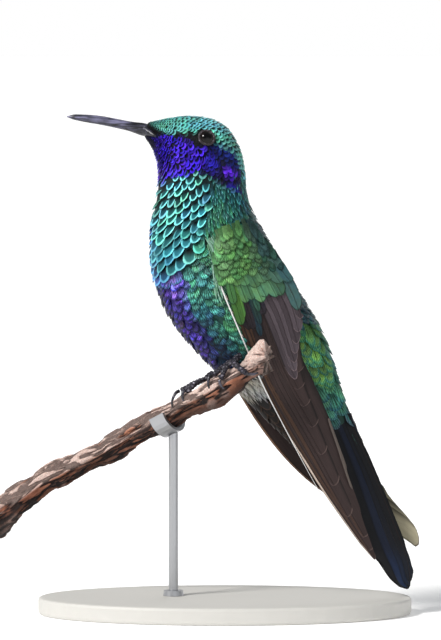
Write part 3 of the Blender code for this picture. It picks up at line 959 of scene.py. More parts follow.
@dataclass(frozen=True)
class StandFinish:
    """The stand's plain parts: painted board or drawn metal."""

    name: str
    colour: tuple[float, float, float, float]
    metal: float
    roughness: float
    grain: tuple[float, float, float]

    def build(self) -> bpy.types.Material:
        """Makes the material on Object coordinates."""
        paint = Paint(self.name)
        place = paint.place()
        line = paint.noise(paint.stretch(place, self.grain), 1.0, 4.0, 0.6)
        cloud = paint.noise(place, 45.0, 3.0)
        colour = paint.shade(self.colour, 0.93 + line * 0.07 + cloud * 0.06)
        return paint.surface(
            Base_Color=colour,
            Metallic=self.metal,
            Roughness=self.roughness + (line - 0.5) * 0.14,
            Normal=paint.bump(line + cloud * 0.4, 0.03 * MM),
        )


# ---------------------------------------------------------------- mesh building


def put(name: str, data: bpy.types.ID) -> bpy.types.Object:
    """Adds an object with its data to the scene."""
    thing = bpy.data.objects.new(name, data)
    bpy.context.scene.collection.objects.link(thing)
    return thing


class Shell:
    """Gathers grids and vanes into one mesh with its maps and stored values."""

    def __init__(self) -> None:
        """Starts empty."""
        self.points: list[Array] = []
        self.faces: dict[int, list[Array]] = {3: [], 4: []}
        self.maps: dict[str, dict[int, list[Array]]] = {}
        self.values: dict[str, list[Array]] = {}
        self.count = 0

    def add(self, points: Array, faces: Array, maps: dict[str, Array], values: dict[str, Array]) -> None:
        """Adds points and faces of one kind.

        Args:
            points: Places (n, 3), metres.
            faces: Point numbers (m, 3) or (m, 4), counted from this call's own points; numbers
                below zero count back into the points before them.
            maps: For each UV map, values for each point (n, 2) or each corner (m, k, 2).
            values: For each stored value, (n, 3) or (n, 4) numbers.
        """
        sides = faces.shape[1]
        self.faces[sides].append(faces + self.count)
        for name, table in maps.items():
            corners = table[faces] if table.ndim == 2 else table
            self.maps.setdefault(name, {3: [], 4: []})[sides].append(corners)
        self.points.append(points)
        for name, table in values.items():
            self.values.setdefault(name, []).append(table)
        self.count += len(points)

    def turn_map(self, name: str, scale: Sequence[float]) -> None:
        """Scales a map's two parts and swaps them."""
        for sides, tables in self.maps[name].items():
            self.maps[name][sides] = [(table * scale)[..., ::-1] for table in tables]

    def build(
        self, name: str, material: bpy.types.Material, slot: str, *nodes: str, crease: float = 50.0
    ) -> None:
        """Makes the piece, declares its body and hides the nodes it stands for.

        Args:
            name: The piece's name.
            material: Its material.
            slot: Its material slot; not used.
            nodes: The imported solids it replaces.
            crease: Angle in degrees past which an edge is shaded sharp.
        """
        mesh = bpy.data.meshes.new(name)
        points = np.concatenate(self.points)
        quads, threes = (np.concatenate([np.empty((0, n), int), *self.faces[n]]) for n in (4, 3))
        corners = np.concatenate([quads.ravel(), threes.ravel()])
        starts = np.concatenate([np.arange(len(quads)) * 4, len(quads) * 4 + np.arange(len(threes)) * 3])
        mesh.vertices.add(len(points))
        mesh.vertices.foreach_set("co", points.ravel().astype(np.float32))
        mesh.loops.add(len(corners))
        mesh.loops.foreach_set("vertex_index", corners.astype(np.int32))
        mesh.polygons.add(len(starts))
        mesh.polygons.foreach_set("loop_start", starts.astype(np.int32))
        for label, tables in self.maps.items():
            flat = [table.reshape(-1, 2) for sides in (4, 3) for table in tables[sides]]
            layer = mesh.uv_layers.new(name=label)
            layer.uv.foreach_set("vector", np.concatenate(flat).ravel().astype(np.float32))
        for label, tables in self.values.items():
            table = np.concatenate(tables)
            kind, part = ("FLOAT_COLOR", "color") if table.shape[1] == 4 else ("FLOAT_VECTOR", "vector")
            stored = mesh.attributes.new(label, kind, "POINT")
            stored.data.foreach_set(part, table.ravel().astype(np.float32))
        mesh.update(calc_edges=True)
        mesh.validate()
        mesh.polygons.foreach_set("use_smooth", np.ones(len(mesh.polygons), bool))
        mesh.set_sharp_from_angle(angle=math.radians(crease))
        mesh.materials.append(material)
        piece = put(name, mesh)
        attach(piece, "root")
        if nodes:
            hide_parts(*nodes)
        LOG.info("%s: %d points, %d faces", name, len(points), len(starts))


def grid_faces(rows: int, columns: int, wrap: bool) -> Array:
    """Quads of a grid of points, whose second axis may close on itself.

    Args:
        rows: Points along the first axis.
        columns: Points along the second axis.
        wrap: Whether the last column joins the first.

    Returns:
        Point numbers (m, 4), each quad going along the second axis first.
    """
    i = np.arange(rows - 1)[:, None]
    j = np.arange(columns if wrap else columns - 1)[None, :]
    after = (j + 1) % columns
    corners = [i * columns + j, i * columns + after, (i + 1) * columns + after, (i + 1) * columns + j]
    return np.stack(corners, axis=-1).reshape(-1, 4)


def grid_corner_map(rows: int, columns: int) -> Array:
    """UV corners of a grid that closes on itself, first part round and second along, 0 to 1."""
    i = np.arange(rows - 1)[:, None] / (rows - 1)
    j = np.arange(columns)[None, :] / columns
    di, dj = 1 / (rows - 1), 1 / columns
    steps = [(0, 0), (dj, 0), (dj, di), (0, di)]
    corners = [np.stack([j + 0 * i + u, i + 0 * j + v], axis=-1) for u, v in steps]
    return np.stack(corners, axis=2).reshape(-1, 4, 2)


def with_poles(table: Array) -> Array:
    """Flattens rows of values and adds the means of the first row and of the last."""
    flat = table.reshape(-1, table.shape[-1])
    return np.concatenate([flat, table[0].mean(axis=0)[None], table[-1].mean(axis=0)[None]])


def pole_fans(rows: int, columns: int) -> Array:
    """Triangles that close a grid's first and last rows on the two points with_poles adds."""
    j = np.arange(columns)
    after, last, pole = (j + 1) % columns, (rows - 1) * columns, rows * columns
    return np.concatenate([parts(pole, after, j), parts(pole + 1, last + j, last + after)])


def faces_out(points: Array, quads: Array, middles: Array) -> bool:
    """Tells whether quads face away from a middle given for each."""
    corner = points[quads]
    normal = np.cross(corner[:, 1] - corner[:, 0], corner[:, 3] - corner[:, 0])
    return ((corner.mean(axis=1) - middles) * normal).sum() > 0


def add_tube(shell: Shell, rings: Array, maps: Sequence[str], values: dict[str, Array]) -> None:
    """Adds a closed tube of rings with both ends drawn to a point.

    Args:
        shell: Where it goes.
        rings: Points (rows, columns, 3) whose columns go round the tube.
        maps: Names of the UV maps, which run once round and once along.
        values: For each stored value, (rows, columns, k) numbers.
    """
    rows, columns = rings.shape[:2]
    points, faces, caps = with_poles(rings), grid_faces(rows, columns, wrap=True), pole_fans(rows, columns)
    corners = grid_corner_map(rows, columns)
    u0 = np.arange(columns) / columns
    u1, zero, one = u0 + 1 / columns, 0 * u0, 0 * u0 + 1
    ends = (((u0, zero), (u1, zero), (u0, zero)), ((u0, one), (u0, one), (u1, one)))
    cap_map = np.concatenate([np.array(end).transpose(2, 0, 1) for end in ends])
    if not faces_out(points, faces, np.repeat(rings.mean(axis=1)[:-1], columns, axis=0)):
        faces, corners, caps, cap_map = (table[:, ::-1] for table in (faces, corners, caps, cap_map))
    full = {name: with_poles(table) for name, table in values.items()}
    shell.add(points, faces, {name: corners for name in maps}, full)
    none = {name: table[:0] for name, table in full.items()}
    shell.add(points[:0], caps - len(points), {name: cap_map for name in maps}, none)


def rounding(u: Array, shoulder: float, reach: float) -> Array:
    """Share of a feather's length that its outline has at u: an arc over the tip."""
    return shoulder + (1 - shoulder) * np.sqrt(1 - np.minimum(np.abs(u) * reach, 1) ** 2)


class VanePattern:
    """The grid of one feather: a thin closed leaf of two faces that share their border.

    Across runs u from -1 to 1 and along runs t from 0 to 1. The outline's length at u is
    shoulder + (1 - shoulder) * sqrt(1 - u * u) of the whole, which rounds the tip.
    """

    def __init__(self, rows: int = 5, columns: int = 7, shoulder: float = 0.66) -> None:
        """Works out the pattern's numbers.

        Args:
            rows: Points along.
            columns: Points across.
            shoulder: Share of the length at which the tip starts to round.
        """
        quarter = math.pi / 2 * 0.94
        u = np.sin(np.linspace(-quarter, quarter, columns)) / math.sin(quarter)
        t = np.linspace(0, 1, rows) ** 0.8
        top = np.arange(rows * columns).reshape(rows, columns)
        under = top.copy()
        inner = (rows - 2) * (columns - 2)
        under[1:-1, 1:-1] = rows * columns + np.arange(inner).reshape(rows - 2, columns - 2)
        quads = grid_faces(rows, columns, wrap=False)
        self.count = rows * columns + inner
        self.faces = np.concatenate([quads, under.ravel()[quads][:, ::-1]])
        self.across = np.broadcast_to(u, (rows, columns))
        self.along = t[:, None] * rounding(u, shoulder, 0.985)
        self.share = np.broadcast_to(t[:, None], (rows, columns))

    def spread(self, table: Array) -> Array:
        """Repeats values (n, rows, columns, k) for the under face's own points."""
        n, k = table.shape[0], table.shape[-1]
        return np.concatenate([part.reshape(n, -1, k) for part in (table, table[:, 1:-1, 1:-1])], axis=1)

    def close(self, top: Array, normals: Array, thickness: float) -> tuple[Array, Array]:
        """Gives feathers their under faces.

        Args:
            top: Points (n, rows, columns, 3) of the upper faces.
            normals: Outward ways there.
            thickness: Their thickness in metres.

        Returns:
            All points (n * count, 3) and quads (m, 4), facing outwards.
        """
        n = len(top)
        lowered = (top - normals * thickness)[:, 1:-1, 1:-1]
        points = np.concatenate([top.reshape(n, -1, 3), lowered.reshape(n, -1, 3)], axis=1)
        a, b, c = (points[:, self.faces[0, k]] for k in (0, 1, 3))
        backwards = (np.cross(b - a, c - a) * normals[:, 0, 0]).sum() < 0
        faces = self.faces[:, ::-1] if backwards else self.faces
        every = (np.arange(n)[:, None, None] * self.count + faces).reshape(-1, 4)
        return points.reshape(-1, 3), every


class ClumpPattern(VanePattern):
    """A wispy pointed lock of down: the same leaf, narrowing to a fine tip."""

    def __init__(self, rows: int = 5, columns: int = 3) -> None:
        """Narrows the leaf's width along its length."""
        super().__init__(rows, columns, shoulder=0.9)
        self.across = self.across * (1 - self.share ** 2 * 0.92)


# ---------------------------------------------------------------- the plumage's markings


@dataclass(frozen=True)
class Zone:
    """One marked area of the body, outlined on (distance from the bill, angle from the back)."""

    tract: str
    corners: Sequence[tuple[float, float]]
    centre: tuple[float, float, float]
    edge: tuple[float, float, float]
    rim: float = 0.86
    gloss: float = 0.8
    soften: float = 0.7

    def cover(self, s: Array, angle: Array) -> Array:
        """How much of the zone's marking shows: 1 well inside it, 0 well outside.

        The distance to the outline is taken with five degrees of angle for each millimetre.

        Args:
            s: Distances from the bill, mm.
            angle: Angles from the back, degrees.

        Returns:
            Shares of the shape of s.
        """
        x, y = s.ravel(), angle.ravel() / 5.0
        corners = np.array(self.corners, float) / (1.0, 5.0)
        inside = np.zeros(len(x), bool)
        nearest = np.full(len(x), 1e9)
        for (x0, y0), (x1, y1) in zip(corners, np.roll(corners, -1, axis=0)):
            crosses = (y0 > y) != (y1 > y)
            rise = y1 - y0 if y1 != y0 else 1e-9
            inside ^= crosses & (x < (x1 - x0) * (y - y0) / rise + x0)
            dx, dy = x1 - x0, y1 - y0
            t = np.clip(((x - x0) * dx + (y - y0) * dy) / max(dx * dx + dy * dy, 1e-9), 0, 1)
            nearest = np.minimum(nearest, np.hypot(x - x0 - t * dx, y - y0 - t * dy))
        signed = np.where(inside, nearest, -nearest) / self.soften
        return np.clip(signed * 0.5 + 0.5, 0, 1).reshape(s.shape)


# From the coat's base colour to its smallest marks; a later zone covers the ones before it.
ZONES = (
    Zone("mantle", ((-9, -60), (99, -60), (99, 260), (-9, 260)), (44, 88, 82), (24, 52, 52), 0.84, 0.5),
    Zone(
        "neck", ((17, -60), (34, -60), (30, 40), (33, 75), (30, 95), (24, 80), (19, 66), (16, 74),
        (14, 60)), (40, 106, 104), (98, 192, 184), 0.84, 0.7, 1.2,
    ),
    Zone(
        "neck", ((27, 50), (30, 45), (36, 62), (36, 100), (31, 92), (27.5, 72)), (58, 128, 106),
        (108, 190, 156), 0.86, 0.6, 2.0,
    ),
    Zone(
        "mantle", ((30, -60), (60, -60), (60, 60), (33, 60)), (54, 104, 112), (30, 60, 70), 0.86, 0.5, 2.5,
    ),
    Zone(
        "flank", ((31, 60), (36, 42), (66, 60), (66, 200), (33, 200)), (92, 172, 98), (52, 110, 66), 0.88,
        0.5, 1.5,
    ),
    Zone(
        "flank", ((34, 110), (39, 102), (46, 111), (53, 124), (58, 129), (64, 132), (66, 200), (34, 200)),
        (98, 194, 182), (56, 120, 122), 0.89, 0.6, 3.0,
    ),
    Zone(
        "flank", ((46, 128), (54, 132), (62, 128), (67, 140), (67, 200), (46, 200)), (38, 74, 112),
        (20, 34, 62), 0.86, 0.7, 3.0,
    ),
    Zone(
        "belly", ((32, 200), (33, 148), (33.6, 132), (37, 130), (40.2, 138), (45, 142), (50.3, 150),
        (56, 157), (62, 168), (62, 200)), (110, 82, 226), (34, 24, 92), 0.87, 0.9, 1.0,
    ),
    Zone(
        "belly", ((34, 158), (35, 134), (37.5, 132), (40.5, 141), (38.5, 156)), (166, 136, 248),
        (70, 54, 158), 0.88, 0.9, 1.0,
    ),
    Zone(
        "belly", ((36, 200), (37, 166), (46, 166), (52, 168), (66, 176), (66, 200)), (46, 46, 128),
        (18, 18, 52), 0.84, 0.8, 2.0,
    ),
    Zone(
        "rump", ((57, -60), (78, -60), (78, 118), (66, 122), (60, 90)), (112, 164, 86), (66, 132, 104), 0.9,
        0.4, 2.0,
    ),
    Zone(
        "rump", ((60, -60), (78, -60), (78, 14), (60, 14)), (76, 152, 146), (52, 112, 124), 0.9, 0.5, 2.0,
    ),
    Zone(
        "uppertail", ((74, -60), (99, -60), (99, 96), (80, 96), (73, 60)), (78, 148, 122), (52, 108, 112),
        0.9, 0.5, 1.5,
    ),
    Zone(
        "uppertail", ((80, -60), (99, -60), (99, 96), (82, 96)), (68, 124, 112), (78, 104, 104), 0.9, 0.3,
        1.5,
    ),
    Zone(
        "vent", ((63.5, 200), (63, 158), (66, 140), (71, 132), (73, 140), (72.5, 200)), (128, 124, 116),
        (168, 165, 157), 0.7, 0.0, 0.8,
    ),
    Zone(
        "undertail", ((71.5, 128), (78, 96), (99, 92), (99, 200), (71.5, 200)), (20, 34, 34), (24, 40, 40),
        0.96, 0.2, 0.8,
    ),
    Zone(
        "undertail", ((71.5, 158), (76, 140), (82, 126), (99, 120), (99, 200), (71.5, 200)), (24, 18, 15),
        (56, 38, 26), 0.97, 0.1, 2.0,
    ),
    # On the throat the pale edge tones are painted highlights: the light that the scales' tips catch.
    Zone(
        "throat", ((7.5, 200), (9.2, 155), (10, 140), (12.3, 124), (15.0, 98), (16.4, 80), (18.2, 68),
        (20.4, 59.5), (24, 69), (28, 82), (32.5, 101), (35.2, 126), (34.5, 150), (33.5, 200)), (17, 76, 80),
        (124, 220, 216), 0.92, 1.0, 0.6,
    ),
    Zone(
        "throat", ((23, 200), (24, 120), (22.5, 68), (28, 82), (32.5, 101), (35.2, 126), (34.5, 150),
        (33.5, 200)), (34, 110, 120), (100, 192, 198), 0.945, 1.0, 2.5,
    ),
    Zone(
        "throat", ((21, 62), (28, 82), (33, 101), (33, 86), (28, 70), (21, 57)), (40, 112, 100),
        (88, 176, 158), 0.93, 0.8, 1.5,
    ),
    Zone(
        "throat", ((16, 200), (18, 166), (26, 158), (34, 146), (34, 200)), (22, 60, 108), (104, 176, 226),
        0.93, 1.0, 1.2,
    ),
    # On the crown and forehead the pale edge tones are likewise painted highlights on the scales' tips.
    Zone(
        "crown", ((-2, -60), (-2, 76), (3.8, 72), (6.6, 61), (9.4, 51), (10.6, 44), (13.2, 37),
        (15.2, 35.5), (18, 20), (20.5, 17), (24, 12), (26, -60)), (20, 74, 74), (122, 212, 216), 0.8, 0.9,
        0.7,
    ),
    Zone(
        "crown", ((6.6, 61), (7.5, 45), (12, 31), (16, 26), (15.2, 36), (10.6, 45)), (22, 80, 58),
        (104, 206, 176), 0.8, 0.9, 1.2,
    ),
    Zone(
        "crown", ((12, -60), (12.6, 26), (16, 24), (20.5, 17), (24, 12), (26, -60)), (16, 54, 54),
        (84, 164, 160), 0.8, 0.9, 2.0,
    ),
    Zone(
        "forehead", ((-2, -60), (8.5, -60), (8.0, 58), (-2, 76)), (22, 66, 62), (104, 196, 188), 0.8, 0.9,
        1.5,
    ),
    Zone(
        "forehead", ((-2, -60), (1.0, -60), (1.4, 60), (-2, 76)), (22, 38, 38), (72, 124, 120), 0.8, 0.6,
        1.2,
    ),
    Zone(
        "ear", ((11.9, 60), (13.4, 42), (14.2, 35), (15.6, 29), (17.4, 22.5), (19.8, 17.0), (22.2, 17.0),
        (24.6, 17.5), (26.8, 18.0), (26.6, 22), (24.6, 35), (22.3, 49), (20.4, 58.5), (18.2, 68),
        (16.6, 78), (14.8, 78), (13.5, 68)), (8, 7, 28), (17, 14, 66), 0.8, 0.8, 0.5,
    ),
    Zone(
        "ear", ((13.8, 42), (14.8, 36), (17.2, 25), (20.0, 19), (22.6, 19.5), (21.5, 26), (18.5, 34),
        (16, 42)), (12, 18, 66), (26, 42, 128), 0.8, 0.9, 0.8,
    ),
    Zone(
        "ear", ((16.6, 42), (18.6, 33), (21.8, 22), (27, 20), (23.4, 27), (20.6, 35), (18.4, 43)),
        (7, 8, 20), (12, 16, 44), 0.84, 0.5, 0.7,
    ),
    Zone(
        "ear", ((13.8, 60), (15.2, 50), (17.6, 48), (18.6, 54), (16.6, 64), (14.4, 68)), (14, 11, 66),
        (44, 34, 170), 0.8, 0.9, 0.9,
    ),
    Zone(
        "ear", ((18.9, 42), (19.2, 34.5), (20.6, 29), (22.4, 27), (22.8, 31), (21.3, 40)), (42, 16, 186),
        (96, 40, 244), 0.7, 1.0, 0.35,
    ),
    Zone(
        "ear", ((22.4, 43), (23.0, 33), (25.2, 25), (27.4, 21.5), (27.4, 23.5), (24.8, 35)), (16, 13, 84),
        (38, 32, 160), 0.8, 0.9, 0.5,
    ),
    Zone(
        "violet", ((1, 200), (1, 112), (2.6, 90), (3.6, 74), (6, 67), (8, 64), (10.1, 63), (11.5, 60),
        (12.6, 58), (15.7, 69), (16, 80), (15.1, 97), (13.4, 112), (12.2, 124), (10, 140), (9.2, 155),
        (7.5, 200)), (8, 6, 42), (68, 38, 212), 0.82, 1.0, 0.6,
    ),
    Zone(
        "violet", ((8.6, 200), (6.5, 168), (8, 150), (9.6, 145), (10.2, 150), (9.2, 160), (8.6, 200)),
        (20, 10, 60), (112, 66, 220), 0.82, 0.9, 1.2,
    ),
    Zone(
        "face", ((-2, 200), (-2, 96), (2, 104), (4.2, 118), (3.6, 140), (3.2, 200)), (10, 10, 26),
        (26, 22, 66), 0.84, 0.5, 0.8,
    ),
    Zone(
        "face", ((-2, 36), (0.6, 38), (1.5, 52), (2.8, 62.5), (4.5, 65.5), (6.0, 69.5), (7.0, 68),
        (7.8, 62), (8.8, 52), (10.0, 47), (12.4, 60), (11.4, 65), (10.3, 67), (9.2, 68), (8.0, 69),
        (6.4, 70), (4.6, 72.5), (3.4, 79), (2.6, 92), (1.4, 104), (-2, 104)), (4, 5, 9), (11, 12, 20), 0.84,
        0.2, 0.5,
    ),
)


@dataclass(frozen=True)
class Look:
    """What feathers at some places look like."""

    centre: Array
    edge: Array
    rim: Array
    gloss: Array


class Plumage:
    """The bird's markings, painted zone over zone."""

    def __init__(self) -> None:
        """Turns the zones' display tones to linear colours."""
        self.centres = [np.array(tone(*zone.centre)[:3]) for zone in ZONES]
        self.edges = [np.array(tone(*zone.edge)[:3]) for zone in ZONES]

    def look(self, s: Array, angle: Array) -> Look:
        """Looks at places on the body.

        Args:
            s: Distances from the bill, mm.
            angle: Angles from the back, degrees.

        Returns:
            Their colours, rim starts and gloss.
        """
        centre, edge = np.zeros((2, *s.shape, 3))
        rim, gloss = np.zeros((2, *s.shape))
        for zone, inner, outer in zip(ZONES, self.centres, self.edges):
            cover = zone.cover(s, angle)
            centre += (inner - centre) * cover[..., None]
            edge += (outer - edge) * cover[..., None]
            rim += (zone.rim - rim) * cover
            gloss += (zone.gloss - gloss) * cover
        return Look(centre, edge, rim, gloss)

    def tract(self, s: Array, angle: Array) -> Array:
        """Names of the tracts that places belong to."""
        names = np.full(s.shape, "mantle", dtype="<U12")
        for zone in ZONES:
            names = np.where(zone.cover(s, angle) > 0.5, zone.tract, names)
        return names


# ---------------------------------------------------------------- laying feathers


@dataclass
class Plumes:
    """Feathers to lay on a ground: a number or a row for each, or one number for all."""

    first: Array
    second: Array
    length: Array
    half_width: Array
    lean: Array
    root: Array | float
    tip: Array
    camber: Array | float
    centre: Array
    edge: Array
    marks: Array
    skew: Array | float = 0.0
    thickness: float = 0.07
    sweep: float = 1.3


# Width of each feather's patch of the unwrap.
BAKE_PATCH = 0.003


class Ground:
    """A form that feathers lie on, with two coordinates of its own."""

    def settle(
        self, first: Array, second: Array, across: Array, along: Array, height: Array
    ) -> tuple[Array, Array]:
        """Places points by their distances in millimetres from a root on the form.

        Args:
            first: The roots' first coordinate.
            second: The roots' second coordinate.
            across: Distances sideways.
            along: Distances down the form.
            height: Heights above the form.

        Returns:
            Points in metres and the outward ways there.
        """
        raise NotImplementedError

    def patch(self, first: Array, second: Array) -> Array:
        """Places of roots on the form's own unwrap, 0 to 1."""
        raise NotImplementedError


def lay(shell: Shell, ground: Ground, plumes: Plumes, pattern: VanePattern) -> None:
    """Adds feathers to a shell.

    A point of a feather lies x = half width * u * (0.62 + 0.38 * smooth(t)) across and
    y = length * along(t, u) * (1 + skew * u * t) down, both turned by the lean; its height goes
    from the root's to the tip's with t to the power of the sweep, less camber * u * u.

    Args:
        shell: Where they go.
        ground: The form they lie on.
        plumes: The feathers.
        pattern: Their leaf.
    """

    def column(numbers: Array | float) -> Array:
        """Stands a number for each feather beside the leaf's grid."""
        return np.reshape(numbers, (-1, 1, 1))

    def each(table: Array) -> Array:
        """Repeats a feather's values for its points."""
        return np.repeat(table, pattern.count, axis=0)

    spread = pattern.share * pattern.share * (3 - 2 * pattern.share)
    x = column(plumes.half_width) * pattern.across * (0.62 + 0.38 * spread)
    y = column(plumes.length) * pattern.along
    y = y * (1 + column(plumes.skew) * pattern.across * pattern.share)
    lean, root = column(plumes.lean), column(plumes.root)
    across = x * np.cos(lean) + y * np.sin(lean)
    along = y * np.cos(lean) - x * np.sin(lean)
    rise = (column(plumes.tip) - root) * pattern.along**plumes.sweep
    height = root + rise - column(plumes.camber) * pattern.across**2
    first, second = (np.broadcast_to(column(at), across.shape) for at in (plumes.first, plumes.second))
    top, normals = ground.settle(first, second, across, along, height)
    points, faces = pattern.close(top, normals, plumes.thickness * MM)
    local = np.broadcast_to(parts(pattern.across * 0.5 + 0.5, pattern.share), (*across.shape, 2))
    vane = pattern.spread(local)
    home = ground.patch(plumes.first, plumes.second)[:, None, :]
    maps = {"vane": vane.reshape(-1, 2), "OFBake": (home + (vane - 0.5) * BAKE_PATCH).reshape(-1, 2)}
    values = {"centre": each(plumes.centre), "edge": each(plumes.edge), "marks": each(plumes.marks)}
    shell.add(points, faces, maps, values)


def with_alpha(colours: Array) -> Array:
    """Adds the fourth part to colours."""
    return np.concatenate([colours, np.ones((*colours.shape[:-1], 1))], axis=-1)


class BodyGround(Ground):
    """The head and trunk as a ground: distance from the bill and angle about the spine."""

    least_rates: tuple[float, float] = (0.25, 1.0)

    def __init__(self, form: BodyForm) -> None:
        """Works out how far a step of each coordinate reaches over the form."""
        self.form = form
        along = np.gradient(form.points, axis=0) / (form.s[1] - form.s[0])
        around = np.roll(form.points, -1, axis=1) - np.roll(form.points, 1, axis=1)
        around = around / (4 * np.pi / form.columns)
        reach = [blur(np.linalg.norm(step, axis=2) / MM, (3, 4), wrap=True) for step in (along, around)]
        self.rates = np.maximum(np.stack(reach, axis=-1), self.least_rates)
        self.ending = unit(form.points[-1] - form.points[-6])

    def settle(
        self, first: Array, second: Array, across: Array, along: Array, height: Array
    ) -> tuple[Array, Array]:
        """Places points; past the form's end they go straight on."""
        form = self.form
        rates = form.read(self.rates, first, second)
        # A second reading half way there follows the form's swell.
        half_s, half_a = first + along / rates[..., 0] / 2, second + across / rates[..., 1] / 2
        rates = form.read(self.rates, half_s, half_a)
        s, a = first + along / rates[..., 0], second + across / rates[..., 1]
        held = np.clip(s, 0, form.s[-1])
        ending = form.read(self.ending[None].repeat(form.rows, axis=0), s * 0, a)
        point = form.at(held, a, height * MM) + ending * (np.maximum(s - held, 0) * MM)[..., None]
        return point, unit(form.read(form.normals, held, a))

    def patch(self, first: Array, second: Array) -> Array:
        """Places on the form's unwrap."""
        return self.form.unwrap(first, second)


class SheetGround(Ground):
    """A wing or half a tail as a ground: distance along it and across it, mm.

    Feathers may reach over its edges, keep a least width, and lie by slopes read over twice a gap.
    """

    over: float = 0.25
    least: float = 0.2
    gap: float = 0.4

    def __init__(self, form: SheetForm) -> None:
        """Keeps the form."""
        self.form = form

    def settle(
        self, first: Array, second: Array, across: Array, along: Array, height: Array
    ) -> tuple[Array, Array]:
        """Places points; the outward way is the sheet's own."""
        k, c = first + along, second + across
        low, high = self.form.borders(k)
        low, high = low - self.over, high + self.over
        c = np.clip(c, low, np.maximum(high, low + self.least))
        gap = self.gap
        down = self.form.at(k + gap, c, height) - self.form.at(k - gap, c, height)
        over = self.form.at(k, c + gap, height) - self.form.at(k, c - gap, height)
        return self.form.at(k, c, height), face_out(np.cross(down, over), self.form.outward)

    def patch(self, first: Array, second: Array) -> Array:
        """Across first, then along."""
        k, c = self.form.k, self.form.c
        across, along = (second - c[0]) / (c[-1] - c[0]), (first - k[0]) / (k[-1] - k[0])
        return inset(np.clip(across, 0, 1), np.clip(along, 0, 1), border=0.02)


@dataclass(frozen=True)
class Tract:
    """How one area's feathers are set: staggered columns down the body."""

    columns: int
    spacing: float
    overlap: float = 2.5
    breadth: float = 1.3
    span: tuple[float, float] = (0.0, 90.0)
    sink: float = 0.55
    lift: float = 0.0
    camber: float = 0.12
    scatter: float = 0.10
    spread: float = 0.06
    tint: float = 0.10
    longest: float = 9.0
    thickness: float = 0.07
    sweep: float = 1.3
    level: Optional[float] = None
    slant: float = 0.0
    toward: float = 0.0
    ahead: float = 0.0
    beside: float = 0.0


TRACTS = {
    "crown": Tract(56, 0.74, sink=0.45, span=(4, 30), lift=0.08, scatter=0.05, tint=0.18, spread=0.03),
    "forehead": Tract(
        36, 0.66, sink=0.34, span=(0.1, 14), overlap=2.8, lift=0.07, scatter=0.06, tint=0.16, spread=0.03,
    ),
    "face": Tract(44, 0.55, sink=0.25, span=(0.1, 16), overlap=3.0, camber=0.05, thickness=0.05),
    "ear": Tract(58, 0.7, sink=0.4, span=(10, 31), overlap=3.0, scatter=0.16, tint=0.22, spread=0.12),
    "violet": Tract(
        42, 0.72, sink=0.52, span=(0.8, 20), overlap=2.9, lift=0.14, scatter=0.18, tint=0.36, camber=0.2,
        spread=0.14,
    ),
    "throat": Tract(
        28, 0.95, sink=0.85, span=(6, 38), overlap=2.05, breadth=1.28, lift=0.22, camber=0.12, scatter=0.08,
        tint=0.2, spread=0.06, sweep=1.8, level=2.0, slant=0.46, toward=0.4, ahead=1.4,
    ),
    "neck": Tract(
        120, 1.5, sink=0.4, span=(14, 38), overlap=3.0, breadth=1.7, scatter=0.4, tint=0.36, spread=0.1,
        camber=0.04, toward=0.15, beside=10.0,
    ),
    "mantle": Tract(50, 0.8, sink=0.8, span=(24, 66), overlap=2.8, scatter=0.25, tint=0.3, spread=0.12),
    "flank": Tract(40, 0.66, sink=0.8, span=(29, 70), scatter=0.28, tint=0.3, camber=0.14, spread=0.18),
    "belly": Tract(48, 0.66, sink=0.75, span=(31, 68), scatter=0.28, tint=0.38, camber=0.16, spread=0.2),
    "rump": Tract(
        30, 0.8, sink=0.8, span=(54, 78), overlap=2.6, scatter=0.16, tint=0.18, camber=0.1, spread=0.12,
        lift=0.1,
    ),
    "uppertail": Tract(
        18, 0.85, sink=0.7, span=(66, 78.5), overlap=2.6, scatter=0.1, tint=0.16, spread=0.08, longest=6.5,
        lift=0.12,
    ),
    "vent": Tract(64, 0.5, sink=0.6, span=(60, 78), overlap=7.0, scatter=0.25, tint=0.08, spread=0.16),
    "undertail": Tract(34, 0.9, sink=0.6, span=(69, 82), overlap=4.0, scatter=0.2, tint=0.14, longest=5.5),
}
COAT_FINISHES = (
    VaneFinish("coat_crown", rim_width=0.3, barb_shade=0.3, root_shade=0.75),
    VaneFinish("coat_chin", rim_width=0.2, rim_bow=0.12, barb_shade=0.25, root_shade=0.7),
    VaneFinish("coat_throat", rim_width=0.11, rim_bow=0.22, barb_shade=0.25, shaft=0.1, root_shade=0.94),
    VaneFinish("coat_belly", barbs=6, barb_shade=1.05, steep=0.18, rim_width=0.14, root_shade=0.54),
    VaneFinish("coat_rump", barbs=7, barb_shade=0.9, steep=0.15, rim_width=0.2, root_shade=0.55),
    VaneFinish("coat_vent", barbs=6, barb_shade=0.25, root_shade=0.2),
    VaneFinish("coat_neck", barbs=10, barb_shade=0.6, rim_width=0.25, root_shade=0.5),
)


class Piece(Enum):
    """Coat pieces and the tracts each one holds."""

    CROWN = ("coat_crown", ("crown", "forehead", "face", "ear"), "crown")
    VIOLET = ("coat_chin", ("violet",), "throat")
    THROAT = ("coat_throat", ("throat",), "throat")
    NECK = ("coat_neck", ("neck", "mantle"), "green")
    BELLY = ("coat_belly", ("belly", "flank"), "green")
    RUMP = ("coat_rump", ("rump", "uppertail"), "green")
    VENT = ("coat_vent", ("vent", "undertail"), "green")


